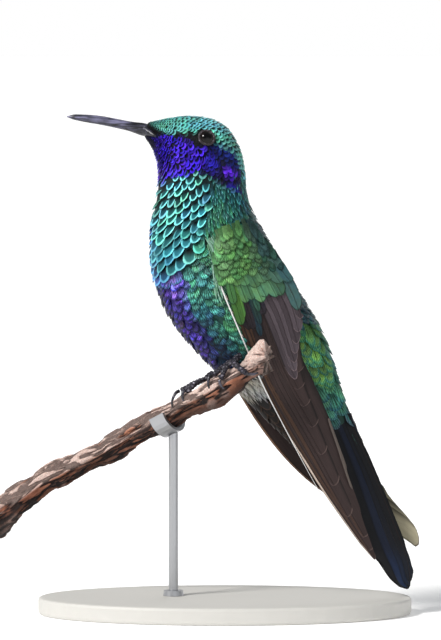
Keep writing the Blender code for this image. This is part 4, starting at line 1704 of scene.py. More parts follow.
class Coat:
    """The body's feathers, in one piece for each area."""

    wispy: Sequence[str] = ("vent", "neck")
    eye_clearance: float = 2.2
    # Share of a feather's length at which its place decides its looks.
    shown_at: float = 0.78
    # Distance from the bill where a slanting tract's columns are counted from the back.
    fold_at: float = 20.0
    finishes: dict[str, VaneFinish] = {finish.name: finish for finish in COAT_FINISHES}
    # Where a folded wing hides the body: along it, and in from its two edges, mm.
    hidden_span: tuple[float, float] = (3.0, 70.0)
    hidden_inset: tuple[float, float] = (0.35, 1.2)

    def __init__(self, form: BodyForm, plumage: Plumage, wings: Sequence[SheetForm]) -> None:
        """Keeps the forms and the markings."""
        self.form, self.plumage, self.wings = form, plumage, wings
        self.ground = BodyGround(form)
        self.pattern = VanePattern()
        self.wisp = ClumpPattern()

    def _roots(self, tract: Tract, rng: np.random.Generator) -> tuple[Array, Array, Array]:
        """Sets out a tract's roots in columns, every second column half a step further.

        Along a column the count of rows grows by 1 for each spacing * (local column width),
        so that rows widen with the body; a level tract counts them at one angle for all, and a
        slanting one starts each column lower, the further it is from the back.

        Args:
            tract: The tract.
            rng: Random source.

        Returns:
            Distances along, angles, and column widths in mm, one for each root.
        """
        step = 2 * np.pi / tract.columns
        s = np.linspace(*tract.span, 400)
        roots = []
        for column in range(tract.columns):
            angle = column * step
            rates = self.form.read(self.ground.rates, s, 0 * s + angle)
            width = rates[:, 1] * step
            if tract.level is not None:
                rates = self.form.read(self.ground.rates, s, 0 * s + tract.level)
            gain = rates[:, 0] / np.maximum(rates[:, 1] * step * tract.spacing, 0.25)
            count = np.concatenate([[0], np.cumsum((gain[1:] + gain[:-1]) / 2 * np.diff(s))])
            fold = self.form.side_angle(self.fold_at, angle) / step
            wanted = np.arange((0.25 + 0.5 * (column % 2) - tract.slant * fold) % 1.0, count[-1], 1.0)
            wanted = wanted + rng.normal(0, tract.scatter, len(wanted))
            here = np.interp(wanted, count, s)
            turned = angle + rng.normal(0, tract.scatter, len(here)) * step
            roots.append((here, turned, np.interp(here, s, width)))
        return tuple(np.concatenate(lists) for lists in zip(*roots))

    def _under_wing(self, points: Array) -> Array:
        """Tells which places a folded wing covers, but for a narrow border."""
        hidden = np.zeros(len(points), bool)
        for wing in self.wings:
            way = points - wing.origin
            k, c = way @ wing.along / MM, way @ wing.across / MM
            lead, trail = wing.borders(k)
            inside = (c > lead + self.hidden_inset[0]) & (c < trail - self.hidden_inset[1])
            inside &= (k > self.hidden_span[0]) & (k < self.hidden_span[1])
            hidden |= inside & (way @ wing.outward > 0)
        return hidden

    def plumes(self, name: str, rng: np.random.Generator) -> Plumes:
        """Works out one tract's feathers.

        Args:
            name: The tract's name.
            rng: Random source.

        Returns:
            The feathers.
        """
        tract = TRACTS[name]
        s, a, width = self._roots(tract, rng)
        length = np.minimum(width * tract.spacing * tract.overlap, tract.longest)
        rates = self.form.read(self.ground.rates, s, a)
        shown = s + length * self.shown_at / rates[:, 0]
        angle = np.degrees(self.form.side_angle(shown, a))
        ends = (shown, s + length / rates[:, 0])
        place, tip = (self.form.at(np.clip(end, 0, self.form.s[-1]), a, 0 * s) for end in ends)
        clear = ~self._under_wing(place)
        for side in SIDES:
            for spot in (place, tip):
                clear &= np.linalg.norm(spot - eye_centre(side), axis=1) > self.eye_clearance * MM
        own = self.plumage.tract(shown, angle) == name
        # Some tracts start under the end of the one before, or reach in under the one beside them.
        shown = np.where(own, shown, shown + tract.ahead)
        angle = np.where(own, angle, angle - tract.beside)
        keep = clear & (own | (self.plumage.tract(shown, angle) == name))
        s, a, width, length, shown, angle = (x[keep] for x in (s, a, width, length, shown, angle))
        look = self.plumage.look(shown, angle)
        n = len(s)
        tint = np.exp(rng.normal(0, tract.tint, (n, 1)))
        hue = 1 + rng.normal(0, tract.tint * 0.35, (n, 3))
        # Slow waves over the body lean the plumage to green here and to blue there.
        wave = np.sin(shown * 0.55 + 3 * np.sin(a * 2)) * np.sin(a * 5 + shown * 0.21)
        hue = hue * (1 + wave[:, None] * np.array([0.10, 0.03, -0.14]))
        sink = np.minimum(tract.sink, 0.16 + length * 0.2)
        flow = np.clip(4 * np.sin(a + self.form.roll(s)), -1, 1) * tract.toward
        marks = parts(look.rim, look.gloss, rng.random(n))
        return Plumes(
            first=s, second=a, length=length * (1 + rng.normal(0, 0.05, n)),
            half_width=width / 2 * tract.breadth * (1 + rng.normal(0, 0.08, n)),
            skew=rng.normal(0, 0.07, n),
            lean=flow + rng.normal(0, tract.spread, n),
            root=-sink, tip=tract.lift - 0.05 + rng.normal(0, 0.03, n),
            camber=tract.camber * np.minimum(width / 2, 1.2),
            centre=with_alpha(look.centre * tint * hue), edge=with_alpha(look.edge * tint * hue),
            marks=marks, thickness=tract.thickness, sweep=tract.sweep,
        )

    def build(self) -> None:
        """Makes every coat piece."""
        for order, piece in enumerate(Piece):
            name, tracts, slot = piece.value
            rng = np.random.default_rng(100 + order)
            shell = Shell()
            for tract in tracts:
                pattern = self.wisp if tract in self.wispy else self.pattern
                lay(shell, self.ground, self.plumes(tract, rng), pattern)
            shell.build(name, self.finishes[name].build(), slot)


class Wisps:
    """Pale loose down that slips out between the flank and each wing's bend."""

    count: int = 170
    span: tuple[float, float] = (30.5, 41.0)
    place: tuple[float, float] = (74.0, 88.0)

    def __init__(self, form: BodyForm) -> None:
        """Keeps the ground."""
        self.form, self.ground = form, BodyGround(form)

    def build(self) -> None:
        """Makes both sides' wisps: fine locks that start under the flank feathers."""
        rng = np.random.default_rng(5)
        shell = Shell()
        for sign in (1, -1):
            n = self.count
            s = rng.uniform(*self.span, n)
            angle = np.radians(rng.uniform(*self.place, n) + (s - self.span[0]) * 2.0)
            a = sign * angle - self.form.roll(s)
            pale = rng.random((n, 1))
            colour = np.array(tone(176, 214, 200)) * pale + np.array(tone(84, 144, 104)) * (1 - pale)
            plumes = Plumes(
                first=s, second=a % (2 * np.pi), length=rng.uniform(2.5, 6.0, n),
                half_width=rng.uniform(0.14, 0.30, n), lean=sign * rng.normal(0.06, 0.16, n), root=-0.3,
                tip=rng.uniform(0.15, 0.65, n), camber=0.05, centre=colour, edge=colour * 0.9,
                marks=parts(0.95, 0.0, rng.random(n)), thickness=0.05, sweep=0.9,
            )
            lay(shell, self.ground, plumes, ClumpPattern(rows=7))
        finish = VaneFinish("wisps", barbs=5, barb_shade=0.4, roughness=0.7, metal=0.0, root_shade=0.2)
        shell.build("coat_wisps", finish.build(), "green")


# ---------------------------------------------------------------- skin


def voxel_surface(points: Array, faces: Array, size: float, relax: int) -> tuple[Array, Array]:
    """Remeshes closed shells, overlapping ones included, to one even closed surface.

    Args:
        points: Places (n, 3), metres.
        faces: Point numbers (m, 3) or (m, 4).
        size: Width of a cell, metres.
        relax: Rounds of smoothing afterwards.

    Returns:
        The new points and quads.
    """
    mesh = bpy.data.meshes.new("raw")
    mesh.from_pydata(points.tolist(), [], faces.tolist())
    mesh.update()
    shape = put("raw", mesh)
    remesh = shape.modifiers.new("even", "REMESH")
    remesh.mode = "VOXEL"
    remesh.voxel_size = size
    ease = shape.modifiers.new("ease", "SMOOTH")
    ease.factor, ease.iterations = 0.5, relax
    done = shape.evaluated_get(bpy.context.evaluated_depsgraph_get()).to_mesh()
    out = np.empty(len(done.vertices) * 3)
    done.vertices.foreach_get("co", out)
    corners = np.empty(len(done.loops), np.int32)
    done.loops.foreach_get("vertex_index", corners)
    shape.to_mesh_clear()
    bpy.data.objects.remove(shape)
    bpy.data.meshes.remove(mesh)
    return out.reshape(-1, 3), corners.reshape(-1, 4).astype(int)


def triangulate(quads: Array) -> Array:
    """Splits quads into triangles."""
    return np.concatenate([quads[:, [0, 1, 2]], quads[:, [0, 2, 3]]])


class Skin:
    """One skin under the feathers: trunk, wings' flesh, legs and toes, and the eyelids."""

    depth_at: Sequence[float] = (0.0, 4.0, 12.0, 30.0, 45.0, 84.0)
    depth_mm: Sequence[float] = (0.10, 0.28, 0.42, 0.72, 0.95, 0.80)
    cell: float = 0.46
    leg_cell: float = 0.17
    leg_names: Sequence[str] = ("leg_left", "leg_right")
    leg_tone: tuple[float, float, float] = (62, 59, 70)
    bare_shade: float = 0.2
    # Flesh: where it starts and ends along a sheet, its upper face's height and its depth, mm.
    wing_flesh: tuple[float, float, float, float] = (2.0, 21.0, -1.0, 2.2)
    tail_flesh: tuple[float, float, float, float] = (0.3, 6.0, -1.5, 1.0)

    def __init__(
        self, form: BodyForm, plumage: Plumage, wings: Sequence[SheetForm], tails: Sequence[SheetForm]
    ) -> None:
        """Keeps the forms and the markings."""
        self.form, self.plumage, self.wings, self.tails = form, plumage, wings, tails

    def _trunk(self) -> tuple[Array, Array]:
        """The trunk's grid, sunk by the coat's depth and closed at both ends."""
        form = self.form
        depth = np.interp(form.s, self.depth_at, self.depth_mm) * MM
        rings = form.points - form.normals * depth[:, None, None]
        shape = rings.shape[:2]
        faces = [triangulate(grid_faces(*shape, wrap=True)), pole_fans(*shape)]
        return with_poles(rings), np.concatenate(faces)

    @staticmethod
    def _flesh(
        form: SheetForm, first: float, last: float, top_height: float, deep: float
    ) -> tuple[Array, Array]:
        """A wing's or tail's flesh: a flat lens under its coverts, thick at the middle.

        Args:
            form: The sheet.
            first: Where it starts, mm from the sheet's start.
            last: Where it ends.
            top_height: Height of its upper face above the sheet, mm.
            deep: Its thickness at the middle, mm.

        Returns:
            Its points and triangles.
        """
        k = np.linspace(form.k[0] + first, form.k[0] + last, 40)
        kk, ss = np.meshgrid(k, np.linspace(0.06, 0.94, 30), indexing="ij")
        c = form.edge(kk, ss)
        bulge = np.sqrt(np.clip(1 - (2 * ss - 1) ** 2, 0, 1))
        for gap, reach in ((k[-1] - kk, 8), (kk - k[0], 3)):
            bulge = bulge * np.clip(gap / reach, 0, 1) ** 0.5
        faces = [form.at(kk, c, top_height + 0 * kk), form.at(kk, c, top_height - 0.05 - deep * bulge)]
        flat, index = grid_faces(*kk.shape, wrap=False), np.arange(kk.size).reshape(kk.shape)
        ring = np.concatenate([index[0], index[1:, -1], index[-1, -2::-1], index[-2:0:-1, 0]])
        turn = np.roll(ring, -1)
        side = parts(ring, ring + kk.size, turn + kk.size, turn)
        quads = np.concatenate([flat, flat[:, ::-1] + kk.size, side])
        return np.concatenate(faces).reshape(-1, 3), triangulate(quads)

    @staticmethod
    def _merge(shells: Sequence[tuple[Array, Array]]) -> tuple[Array, Array]:
        """Puts shells into one array of points and one of faces."""
        start = np.cumsum([0] + [len(points) for points, _ in shells[:-1]])
        faces = np.concatenate([faces + first for (_, faces), first in zip(shells, start)])
        return np.concatenate([points for points, _ in shells]), faces

    def _coordinates(self, points: Array) -> tuple[Array, Array]:
        """Distance and angle on the trunk's form of the point nearest to each given one."""
        form = self.form
        grid = form.points[::2, ::2]
        flat = grid.reshape(-1, 3)
        tree = KDTree(len(flat))
        for index, point in enumerate(flat.tolist()):
            tree.insert(point, index)
        tree.balance()
        row = np.array([tree.find(point)[1] for point in points.tolist()]) // grid.shape[1]
        # The angle comes from the point itself, so that it varies smoothly.
        way = points - form.centre[::2][row]
        angle = np.arctan2(way @ form.left, (way * form.up[::2][row]).sum(axis=1)) % (2 * np.pi)
        return form.s[::2][row], angle

    def build(self) -> None:
        """Makes the skin."""
        shells = [self._trunk(), *(self._flesh(wing, *self.wing_flesh) for wing in self.wings)]
        shells += [self._flesh(tail, *self.tail_flesh) for tail in self.tails]
        body_points, body_faces = voxel_surface(*self._merge(shells), self.cell * MM, 3)
        legs = self._merge([node_arrays(name) for name in self.leg_names])
        leg_points, leg_faces = voxel_surface(*legs, self.leg_cell * MM, 3)
        leg_points = leg_points + self._swell(leg_points, leg_faces)
        shell = Shell()
        for points, faces, scute in ((body_points, body_faces, 0.0), (leg_points, leg_faces, 1.0)):
            s, a = self._coordinates(points)
            look = self.plumage.look(s, np.degrees(self.form.side_angle(s, a)))
            scaly = np.array(tone(*self.leg_tone)[:3]) + 0 * look.centre
            # Painted shade: skin and down between the feathers take the plumage's colour at a fifth of its
            # brightness, the shade in the gaps.
            colour = scaly if scute else look.centre * self.bare_shade
            corner = self.form.unwrap(s, a)[faces]
            # Faces over the map's seam are kept at its far side.
            wide = np.ptp(corner[..., 0], axis=1) > 0.5
            corner[..., 0] = np.where(wide[:, None] & (corner[..., 0] < 0.5), 0.99, corner[..., 0])
            values = {"centre": with_alpha(colour), "marks": parts(scute, 0 * s, 0.0)}
            shell.add(points, faces, {"OFBake": corner}, values)
        for side in SIDES:
            self._lid(shell, side)
        shell.build("skin", SkinFinish().build(), "green", *self.form.lengths, *self.leg_names)

    @staticmethod
    def _swell(points: Array, quads: Array) -> Array:
        """Moves that give smoothed legs their girth back, with low rings of scutes.

        Args:
            points: The legs' points.
            quads: Their faces.

        Returns:
            A move for each point: out by 0.25 mm plus 0.07 mm * the sum of two slanting waves.
        """
        normal = np.zeros_like(points)
        diagonals = (points[quads[:, k + 2]] - points[quads[:, k]] for k in (0, 1))
        face = np.cross(*diagonals)
        for k in range(4):
            np.add.at(normal, quads[:, k], face)
        x, y, z = points.T / MM
        rings = np.sin(7.0 * x + 4.0 * z) + np.sin(7.0 * z - 3.0 * x + 2.0 * y)
        return unit(normal) * ((0.25 + 0.07 * rings) * MM)[:, None]

    def _lid(self, shell: Shell, side: str) -> None:
        """Adds the bare ring of lid round an eye.

        The ring's section is an oval carried once round the eye's axis; a low ripple gives
        it fine folds, and it is a little longer than high.

        Args:
            shell: Where it goes.
            side: "left" or "right".
        """
        centre, radius = eye_centre(side), eye_radius(side)
        axis = self.form.outward_at(centre)
        front = unit(np.array([-1.0, 0, 0]) - axis * -axis[0])
        top = np.cross(front, axis)
        top = top * np.sign(top[2])
        tt, pp = np.meshgrid(turns(72), turns(14), indexing="ij")
        ripple = 1 + 0.10 * np.sin(tt * 24) + 0.05 * np.sin(tt * 61)
        out = (radius * 0.86 + 0.29 * MM * ripple * np.cos(pp)) * (1 + 0.015 * np.cos(2 * tt))
        height = radius * 0.58 + 0.22 * MM * ripple * np.sin(pp)
        rings = placed(centre, (out * np.cos(tt), front), (out * np.sin(tt), top), (height, axis))
        index = np.arange(tt.size).reshape(tt.shape)
        down, over = np.roll(index, -1, axis=0), np.roll(index, -1, axis=1)
        faces = parts(index, down, np.roll(down, -1, axis=1), over).reshape(-1, 4)
        points = rings.reshape(-1, 3)
        if not faces_out(points, faces, np.repeat(rings.mean(axis=1), tt.shape[1], axis=0)):
            faces = faces[:, ::-1]
        s, a = self._coordinates(points)
        values = {"centre": tone(58, 52, 56) + np.zeros((len(points), 4)), "marks": parts(0.5, 0 * s, 0.0)}
        shell.add(points, faces, {"OFBake": self.form.unwrap(s, a)}, values)


# ---------------------------------------------------------------- wings and tail


@dataclass(frozen=True)
class Quill:
    """One large feather on a sheet: its shaft's line, its webs' widths and its layer.

    Places across the sheet are shares of the way from the leading to the trailing edge.
    """

    root: tuple[float, float]
    tip: tuple[float, float]
    front: float
    back: float
    layer: float
    centre: tuple[float, float, float]
    edge: tuple[float, float, float]
    bow: float = 0.0
    rim: float = 0.985
    gloss: float = 0.1
    front_tone: Optional[tuple[float, float, float]] = None
    shoulder: float = 0.93
    narrow: float = 0.55
    thickness: float = 0.10
    base: float = 0.55
    tip_tone: Optional[tuple[float, float, float]] = None
    lift: float = 0.0
    ease: float = 1.0


class QuillSet:
    """Lays quills on a sheet as closed leaves with a raised shaft."""

    across: Sequence[float] = (-1, -0.82, -0.55, -0.25, -0.05, 0, 0.05, 0.2, 0.45, 0.7, 0.88, 1)
    layer_gap: float = 0.13
    # How much further in the last feather ends than the first, and the least width left, mm.
    step_in: float = 0.02
    least: float = 0.3
    # The stack is raised from this far along a sheet, fully so this much nearer its start, mm.
    raised_to: float = 38.0
    raised_over: float = 13.0

    def __init__(self, form: SheetForm, floor: float, rows: int = 30, rise: float = 0.0) -> None:
        """Keeps the sheet and how feathers sit on it.

        Args:
            form: The sheet.
            floor: The lowest layer's height, mm.
            rows: Points along a feather.
            rise: How far the stack is raised over the body, mm.
        """
        self.form, self.floor, self.rise = form, floor, rise
        self.ground = SheetGround(form)
        self.pattern = VanePattern(rows, len(self.across))
        self.u, self.t = np.array(self.across, float)[None, :], np.linspace(0, 1, rows)[:, None]

    def lay(self, shell: Shell, quills: Sequence[Quill], rng: np.random.Generator) -> None:
        """Adds quills to a shell.

        A point's distance down the sheet is root + (tip - root) * t * rounding(u); the shaft's
        share across goes from the root's to the tip's with that to the power of its ease. Across,
        a point is the shaft's place plus the web's width at u. A web opens over the first 0.15 of
        the length, narrows towards the tip and is held inside the sheet's edges. The front web and
        the tip may have tones of their own, which fade in along u and t.

        Args:
            shell: Where they go.
            quills: The feathers.
            rng: Random source.
        """
        u, t, total = self.u, self.t, len(quills)
        in_front = (u < -0.03) * (1 - 0.55 * np.clip((t - 0.45) / 0.4, 0, 1))
        at_tip = np.clip((t - 0.78) / 0.12, 0, 1) + 0 * u
        for order, quill in enumerate(quills):
            reach = t * rounding(u, quill.shoulder, 0.97)
            k = quill.root[0] + (quill.tip[0] - quill.root[0]) * reach
            share = quill.root[1] + (quill.tip[1] - quill.root[1]) * reach**quill.ease
            share = share + quill.bow * np.sin(np.pi * reach)
            opening = quill.base + (1 - quill.base) * np.clip(reach / 0.15, 0, 1) ** 0.6
            width = opening * (1 - quill.narrow * np.clip((reach - 0.35) / 0.65, 0, 1) ** 1.6)
            c = self.form.edge(k, share) + u * np.where(u < 0, quill.front, quill.back) * width
            # Each feather ends a little further in than the one below, so that no two edges meet.
            lead, trail = self.form.borders(k)
            margin = self.step_in * order / total
            c = np.clip(c, lead + margin, np.maximum(trail - margin, lead + self.least))
            height = self.floor + quill.layer * self.layer_gap - 0.10 * u**2 + 0.07 * (np.abs(u) < 0.02)
            # Over the body the stack is raised clear of the flank.
            over = np.clip((self.raised_to - k) / self.raised_over, 0, 1)
            height = height + (self.rise + quill.lift) * over**1.5
            top, normals = self.ground.settle(k, c, 0 * k, 0 * k, height)
            points, faces = self.pattern.close(top[None], normals[None], quill.thickness * MM)
            vane = self.pattern.spread(parts(u * 0.5 + 0.5, t)[None]).reshape(-1, 2)
            bake = (vane * (0.9, 0.96) + (0.05, 0.02) + (order, 0)) / (total, 1)
            colour = np.array(tone(*quill.centre)) * rng.uniform(0.9, 1.1)
            for other, cover in ((quill.front_tone, in_front), (quill.tip_tone, at_tip)):
                if other is not None:
                    colour = colour + (np.array(tone(*other)) - colour) * cover[..., None]
            colour = np.broadcast_to(colour, (*k.shape, 4))
            marks = np.array([quill.rim, quill.gloss, rng.random()])
            values = {
                "centre": self.pattern.spread(colour[None]).reshape(-1, 4),
                "edge": np.tile(tone(*quill.edge), (self.pattern.count, 1)),
                "marks": np.tile(marks, (self.pattern.count, 1)),
            }
            shell.add(points, faces, {"vane": vane, "OFBake": bake}, values)


@dataclass(frozen=True)
class CovertRow:
    """A row of coverts across a wing, from one share of its width to another."""

    count: int
    shares: tuple[float, float]
    tips: tuple[float, float]
    length: float
    width: float
    layer: float
    tones: tuple[tuple[float, float, float], tuple[float, float, float]]
    edge: tuple[float, float, float]


class Wing:
    """A folded wing: ten primaries, the secondaries and the rows of coverts over them."""

    primary_tips: Sequence[tuple[float, float]] = (
        (33, 0.72), (36.5, 0.63), (40.5, 0.60), (45.5, 0.57), (52, 0.50), (59.6, 0.47), (67.3, 0.42),
        (72.8, 0.72), (76.0, 0.62), (78.3, 0.50),
    )
    secondary_tips: Sequence[tuple[float, float]] = (
        (33.0, 0.66), (31.2, 0.70), (29.3, 0.74), (27.4, 0.79), (25.4, 0.84), (23.0, 0.90), (20.3, 0.965),
    )
    brown: tuple[float, float, float] = (50, 38, 37)
    pale_rim: tuple[float, float, float] = (88, 72, 68)

    def __init__(self, form: SheetForm, side: str, seed: int) -> None:
        """Reads the wing's form."""
        self.form, self.side, self.seed = form, side, seed
        self.ground = SheetGround(form)

    def _primaries(self) -> list[Quill]:
        """Ten primaries, the outermost lowest and along the leading edge, and the pale edge strips."""
        quills = []
        left = self.side == "left"
        for index, (k, share) in enumerate(self.primary_tips):
            outer = 9 - index
            last = outer == 0
            # Painted glint: the three primaries inside the outermost get a bronze front web.
            glint_web = (78, 55, 42) if index >= 6 else None
            quills.append(Quill(
                root=(9.0, 0.035) if last else (12.0 - 0.25 * outer, 0.055 * outer + 0.05),
                # The nearer wing's inner feathers end a little higher.
                tip=(k - 1.3 * max(0.0, 1 - index / 8) if left else k, share),
                front=(0.55 if left else 0.4) if last else 0.85 + 0.05 * outer,
                back=9.0 if outer < 3 else 4.6 - 0.05 * outer,
                layer=0.6 * outer,
                centre=self.brown if index % 2 else (56, 43, 42),
                edge=self.pale_rim, rim=0.993,
                # Painted light: the farther wing's outer tips are pale beige, light shining through them.
                tip_tone=(176, 168, 142) if not left and index > 6 else None,
                bow=0.0 if last else -0.03 - 0.015 * (index % 3),
                ease=(1.0, 1.0, 1.0, 1.1, 1.2, 1.4, 1.8, 2.2, 3.2, 4.5)[index],
                # The farther wing's outermost front web is pale brown: painted light shining through it.
                front_tone=((236, 216, 200) if left else (150, 118, 96)) if last else glint_web,
                shoulder=0.955,
            ))
        quills = quills[::-1]
        quills.append(Quill(
            root=(44.0, 1.0), tip=(61.2, 0.97), front=0.6, back=0.5, layer=6.0, centre=(88, 79, 74),
            edge=(84, 75, 70), narrow=0.4, shoulder=0.9,
        ))
        if left:
            quills.append(Quill(
                root=(4.0, 0.0), tip=(60.0, 0.0), front=0.30, back=0.34, layer=8.5, centre=(255, 254, 252),
                edge=(236, 216, 200), narrow=0.8, shoulder=0.99, thickness=0.2, lift=0.25,
            ))
        return quills

    def _secondaries(self) -> list[Quill]:
        """Seven secondaries and tertials, whose rounded tips show at the trailing side."""
        return [
            Quill(
                root=(5.0, 0.40 + 0.07 * index), tip=tip, front=1.25, back=1.7, layer=6.2 + index * 0.5,
                centre=(84, 74, 80) if index % 2 else (66, 57, 62), edge=(110, 94, 98), narrow=0.15,
                shoulder=0.84, rim=0.988,
            )
            for index, tip in enumerate(self.secondary_tips)
        ]

    def _rows(self) -> list[CovertRow]:
        """The rows of coverts, lowest first."""
        rows = (
            (5, (0.16, 0.42), (19.0, 16.0), 11, 2.2, 13.4, ((40, 32, 34), (50, 44, 52)), (14, 11, 12)),
            (3, (0.29, 0.38), (20.4, 15.6), 10, 1.5, 14.2, ((34, 54, 62), (42, 76, 62)), (12, 18, 22)),
            (3, (0.80, 0.94), (14.6, 18.0), 13, 3.0, 14.8, ((80, 118, 94), (66, 96, 92)), (34, 54, 46)),
            (4, (0.07, 0.20), (16.6, 12.4), 8, 2.3, 15.2, ((76, 122, 50), (80, 128, 60)), (22, 40, 20)),
            (6, (0.28, 0.76), (12.2, 13.8), 11, 3.3, 15.8, ((92, 138, 84), (80, 122, 92)), (32, 52, 40)),
            (6, (0.10, 0.16), (11.6, 3.4), 5.5, 1.9, 17.0, ((58, 100, 54), (84, 136, 70)), (14, 24, 18)),
            (7, (0.26, 0.93), (8.6, 11.2), 6.5, 3.0, 17.6, ((100, 150, 84), (66, 98, 92)), (40, 64, 44)),
        )
        return [CovertRow(*row) for row in rows]

    def _covert_quills(self, rng: np.random.Generator) -> list[Quill]:
        """Turns the rows into quills, each a little out of line."""
        quills = []
        for row in self._rows():
            for index in range(row.count):
                f = index / max(row.count - 1, 1)
                share = row.shares[0] + (row.shares[1] - row.shares[0]) * f + rng.normal(0, 0.012)
                tip = row.tips[0] + (row.tips[1] - row.tips[0]) * f + rng.normal(0, 0.55)
                bright = rng.uniform(0.84, 1.16)
                colour = tuple((a + (b - a) * f) * bright for a, b in zip(*row.tones))
                quills.append(Quill(
                    root=(tip - row.length, share * 0.85 + 0.06), tip=(tip, share), front=row.width / 2,
                    back=row.width / 2 * 1.1, layer=row.layer + 1.2 * (f if row.shares[0] > 0.2 else 1 - f),
                    centre=colour, edge=row.edge, narrow=0.12, shoulder=0.78, rim=0.965, gloss=0.5,
                    base=0.75,
                ))
        return quills

    def _small(self, rng: np.random.Generator) -> Plumes:
        """Lesser coverts and scapulars over the shoulder, in staggered rows."""
        columns, start = (8, 0.3) if self.side == "left" else (10, 1.8)
        k_first, k_last, gap = self.form.k[0] + start, 5.2, 1.25
        rows = int((k_last - k_first) / gap)
        index, row = np.meshgrid(np.arange(columns), np.arange(rows), indexing="ij")
        share = (index + 0.5 * (row % 2) + rng.normal(0, 0.12, index.shape)) / columns
        k = k_first + gap * row + rng.normal(0, 0.14, row.shape)
        k, share = k.ravel(), np.clip(share.ravel(), 0.02, 0.99)
        lead, trail = self.form.borders(k)
        n = len(k)
        # Yellow-green in front, dark teal-grey scapulars behind.
        behind = np.clip((share - 0.58) * 4.0 + (k - 2) * 0.02, 0, 1)[:, None]
        front, mid, rear = (np.array(tone(*rgb)) for rgb in ((122, 178, 108), (88, 142, 86), (60, 94, 90)))
        pick = rng.random((n, 1))
        centre = (front * pick + mid * (1 - pick)) * (1 - behind) + rear * behind
        centre = centre[:, :3] * np.exp(rng.normal(0, 0.16, (n, 1))) * (1 + rng.normal(0, 0.08, (n, 3)))
        behind = behind[:, 0]
        half = np.maximum((trail - lead) / columns, 0.9)
        return Plumes(
            first=k, second=self.form.edge(k, share), length=rng.normal(3.7, 0.3, n) + 1.6 * behind,
            half_width=half * rng.normal(0.72, 0.06, n) * (1 - 0.25 * behind),
            lean=rng.normal(0, 0.07, n) + 0.16 * (share - 0.5), root=-0.25,
            tip=0.42 + rng.normal(0, 0.02, n), camber=0.07, skew=rng.normal(0, 0.05, n),
            centre=with_alpha(centre), edge=with_alpha(centre * 0.5), marks=parts(0.93, 0.5, rng.random(n)),
        )

    def build(self) -> None:
        """Makes the wing's pieces."""
        rng = np.random.default_rng(self.seed)
        flight, rows, small = Shell(), Shell(), Shell()
        QuillSet(self.form, -2.25, rise=0.8).lay(flight, self._primaries() + self._secondaries(), rng)
        QuillSet(self.form, -2.30, rows=14).lay(rows, self._covert_quills(rng), rng)
        lay(small, self.ground, self._small(rng), VanePattern())
        vanes = QuillFinish(f"flight_{self.side}", streak=0.5, outline=0.75)
        coverts = QuillFinish(
            f"coverts_{self.side}", barbs=46, slant=8, roughness=0.42, streak=0.4, depth=0.03,
            rim_sharp=40, border=0.5, turn=0.35, outline=0.4,
        )
        lesser = VaneFinish(
            f"lesser_{self.side}", barbs=7, barb_shade=0.8, steep=0.25, rim_width=0.10, root_shade=0.5
        )
        wing = f"wing_{self.side}"
        flight.build(f"{wing}_flight", vanes.build(), "flight", f"{wing}_primaries")
        rows.build(f"{wing}_covert_rows", coverts.build(), "green", f"{wing}_coverts")
        small.build(f"{wing}_lesser", lesser.build(), "green", f"{wing}_shoulder")


class Tail:
    """Half a tail: five feathers, the middle one on top at the ridge."""

    # How far the feathers start above the half, under the coverts, mm.
    overlap: float = 4.5
    # Shares across at root and tip, end past the half, web widths, and the vane's tones.
    feathers: Sequence[tuple] = (
        (0.12, 0.12, -0.1, 6.0, 1.5, (13, 14, 18), (11, 12, 15), (20, 24, 34)),
        (0.20, 0.28, 0.9, 1.5, 1.7, (15, 18, 27), (24, 34, 56), (22, 32, 52)),
        (0.30, 0.45, 1.2, 2.0, 2.4, (16, 23, 40), (15, 20, 36), (22, 36, 64)),
        (0.42, 0.62, 0.4, 2.6, 4.6, (11, 12, 17), (16, 20, 34), None),
        (0.62, 0.80, -0.8, 3.4, 9.0, (9, 9, 11), (12, 13, 18), None),
    )

    def __init__(self, form: SheetForm, side: str, seed: int) -> None:
        """Reads the half's form."""
        self.form, self.side, self.seed = form, side, seed

    def build(self) -> None:
        """Makes the half's feathers."""
        k0, k1 = self.form.k[0] - self.overlap, self.form.k[-1]
        quills = [
            Quill(
                root=(k0, root), tip=(k1 + end, tip), front=front, back=back, layer=4.0 - index,
                centre=centre, edge=(20, 22, 28), bow=0.02 * index, gloss=0.3, narrow=0.12, shoulder=0.88,
                front_tone=front_tone, tip_tone=tip_tone, thickness=0.12, base=1.0,
            )
            for index, (root, tip, end, front, back, centre, front_tone, tip_tone) in enumerate(self.feathers)
        ]
        shell = Shell()
        QuillSet(self.form, -0.62).lay(shell, quills[::-1], np.random.default_rng(self.seed))
        finish = QuillFinish(f"tail_{self.side}", barbs=130, slant=22, roughness=0.38, outline=0.5)
        shell.build(f"tail_{self.side}_feathers", finish.build(), "tail", f"tail_{self.side}")


# ---------------------------------------------------------------- eyes, bill and claws


class Eye:
    """An eyeball on its socket's axis, with a map that runs out from the pupil."""

    def __init__(self, form: BodyForm, side: str) -> None:
        """Reads the eye's place."""
        self.side, self.centre, self.radius = side, eye_centre(side), eye_radius(side)
        self.axis = form.outward_at(self.centre)

    def build(self) -> None:
        """Makes the ball: rings at polar angles from the pupil to the back, with a low cornea.

        The radius is R * (0.985 + 0.03 * exp(-(angle / 0.6) ** 2)).
        """
        pp, tt = np.meshgrid(np.linspace(0.02, math.pi - 0.02, 48), turns(64), indexing="ij")
        side = unit(np.cross(self.axis, UP))
        top = np.cross(side, self.axis)
        radius = self.radius * (0.985 + 0.03 * np.exp(-((pp / 0.6) ** 2)))
        out = radius * np.sin(pp)
        steps = ((radius * np.cos(pp), self.axis), (out * np.cos(tt), side), (out * np.sin(tt), top))
        shell = Shell()
        add_tube(shell, placed(self.centre, *steps), ("vane", "OFBake"), {})
        # The map's first part is the share of the way from the pupil to the ball's middle.
        shell.turn_map("vane", (1.0, 2.0))
        material = EyeFinish(f"eye_{self.side}").build()
        shell.build(f"eyeball_{self.side}", material, "eye", f"eye_{self.side}", crease=180)


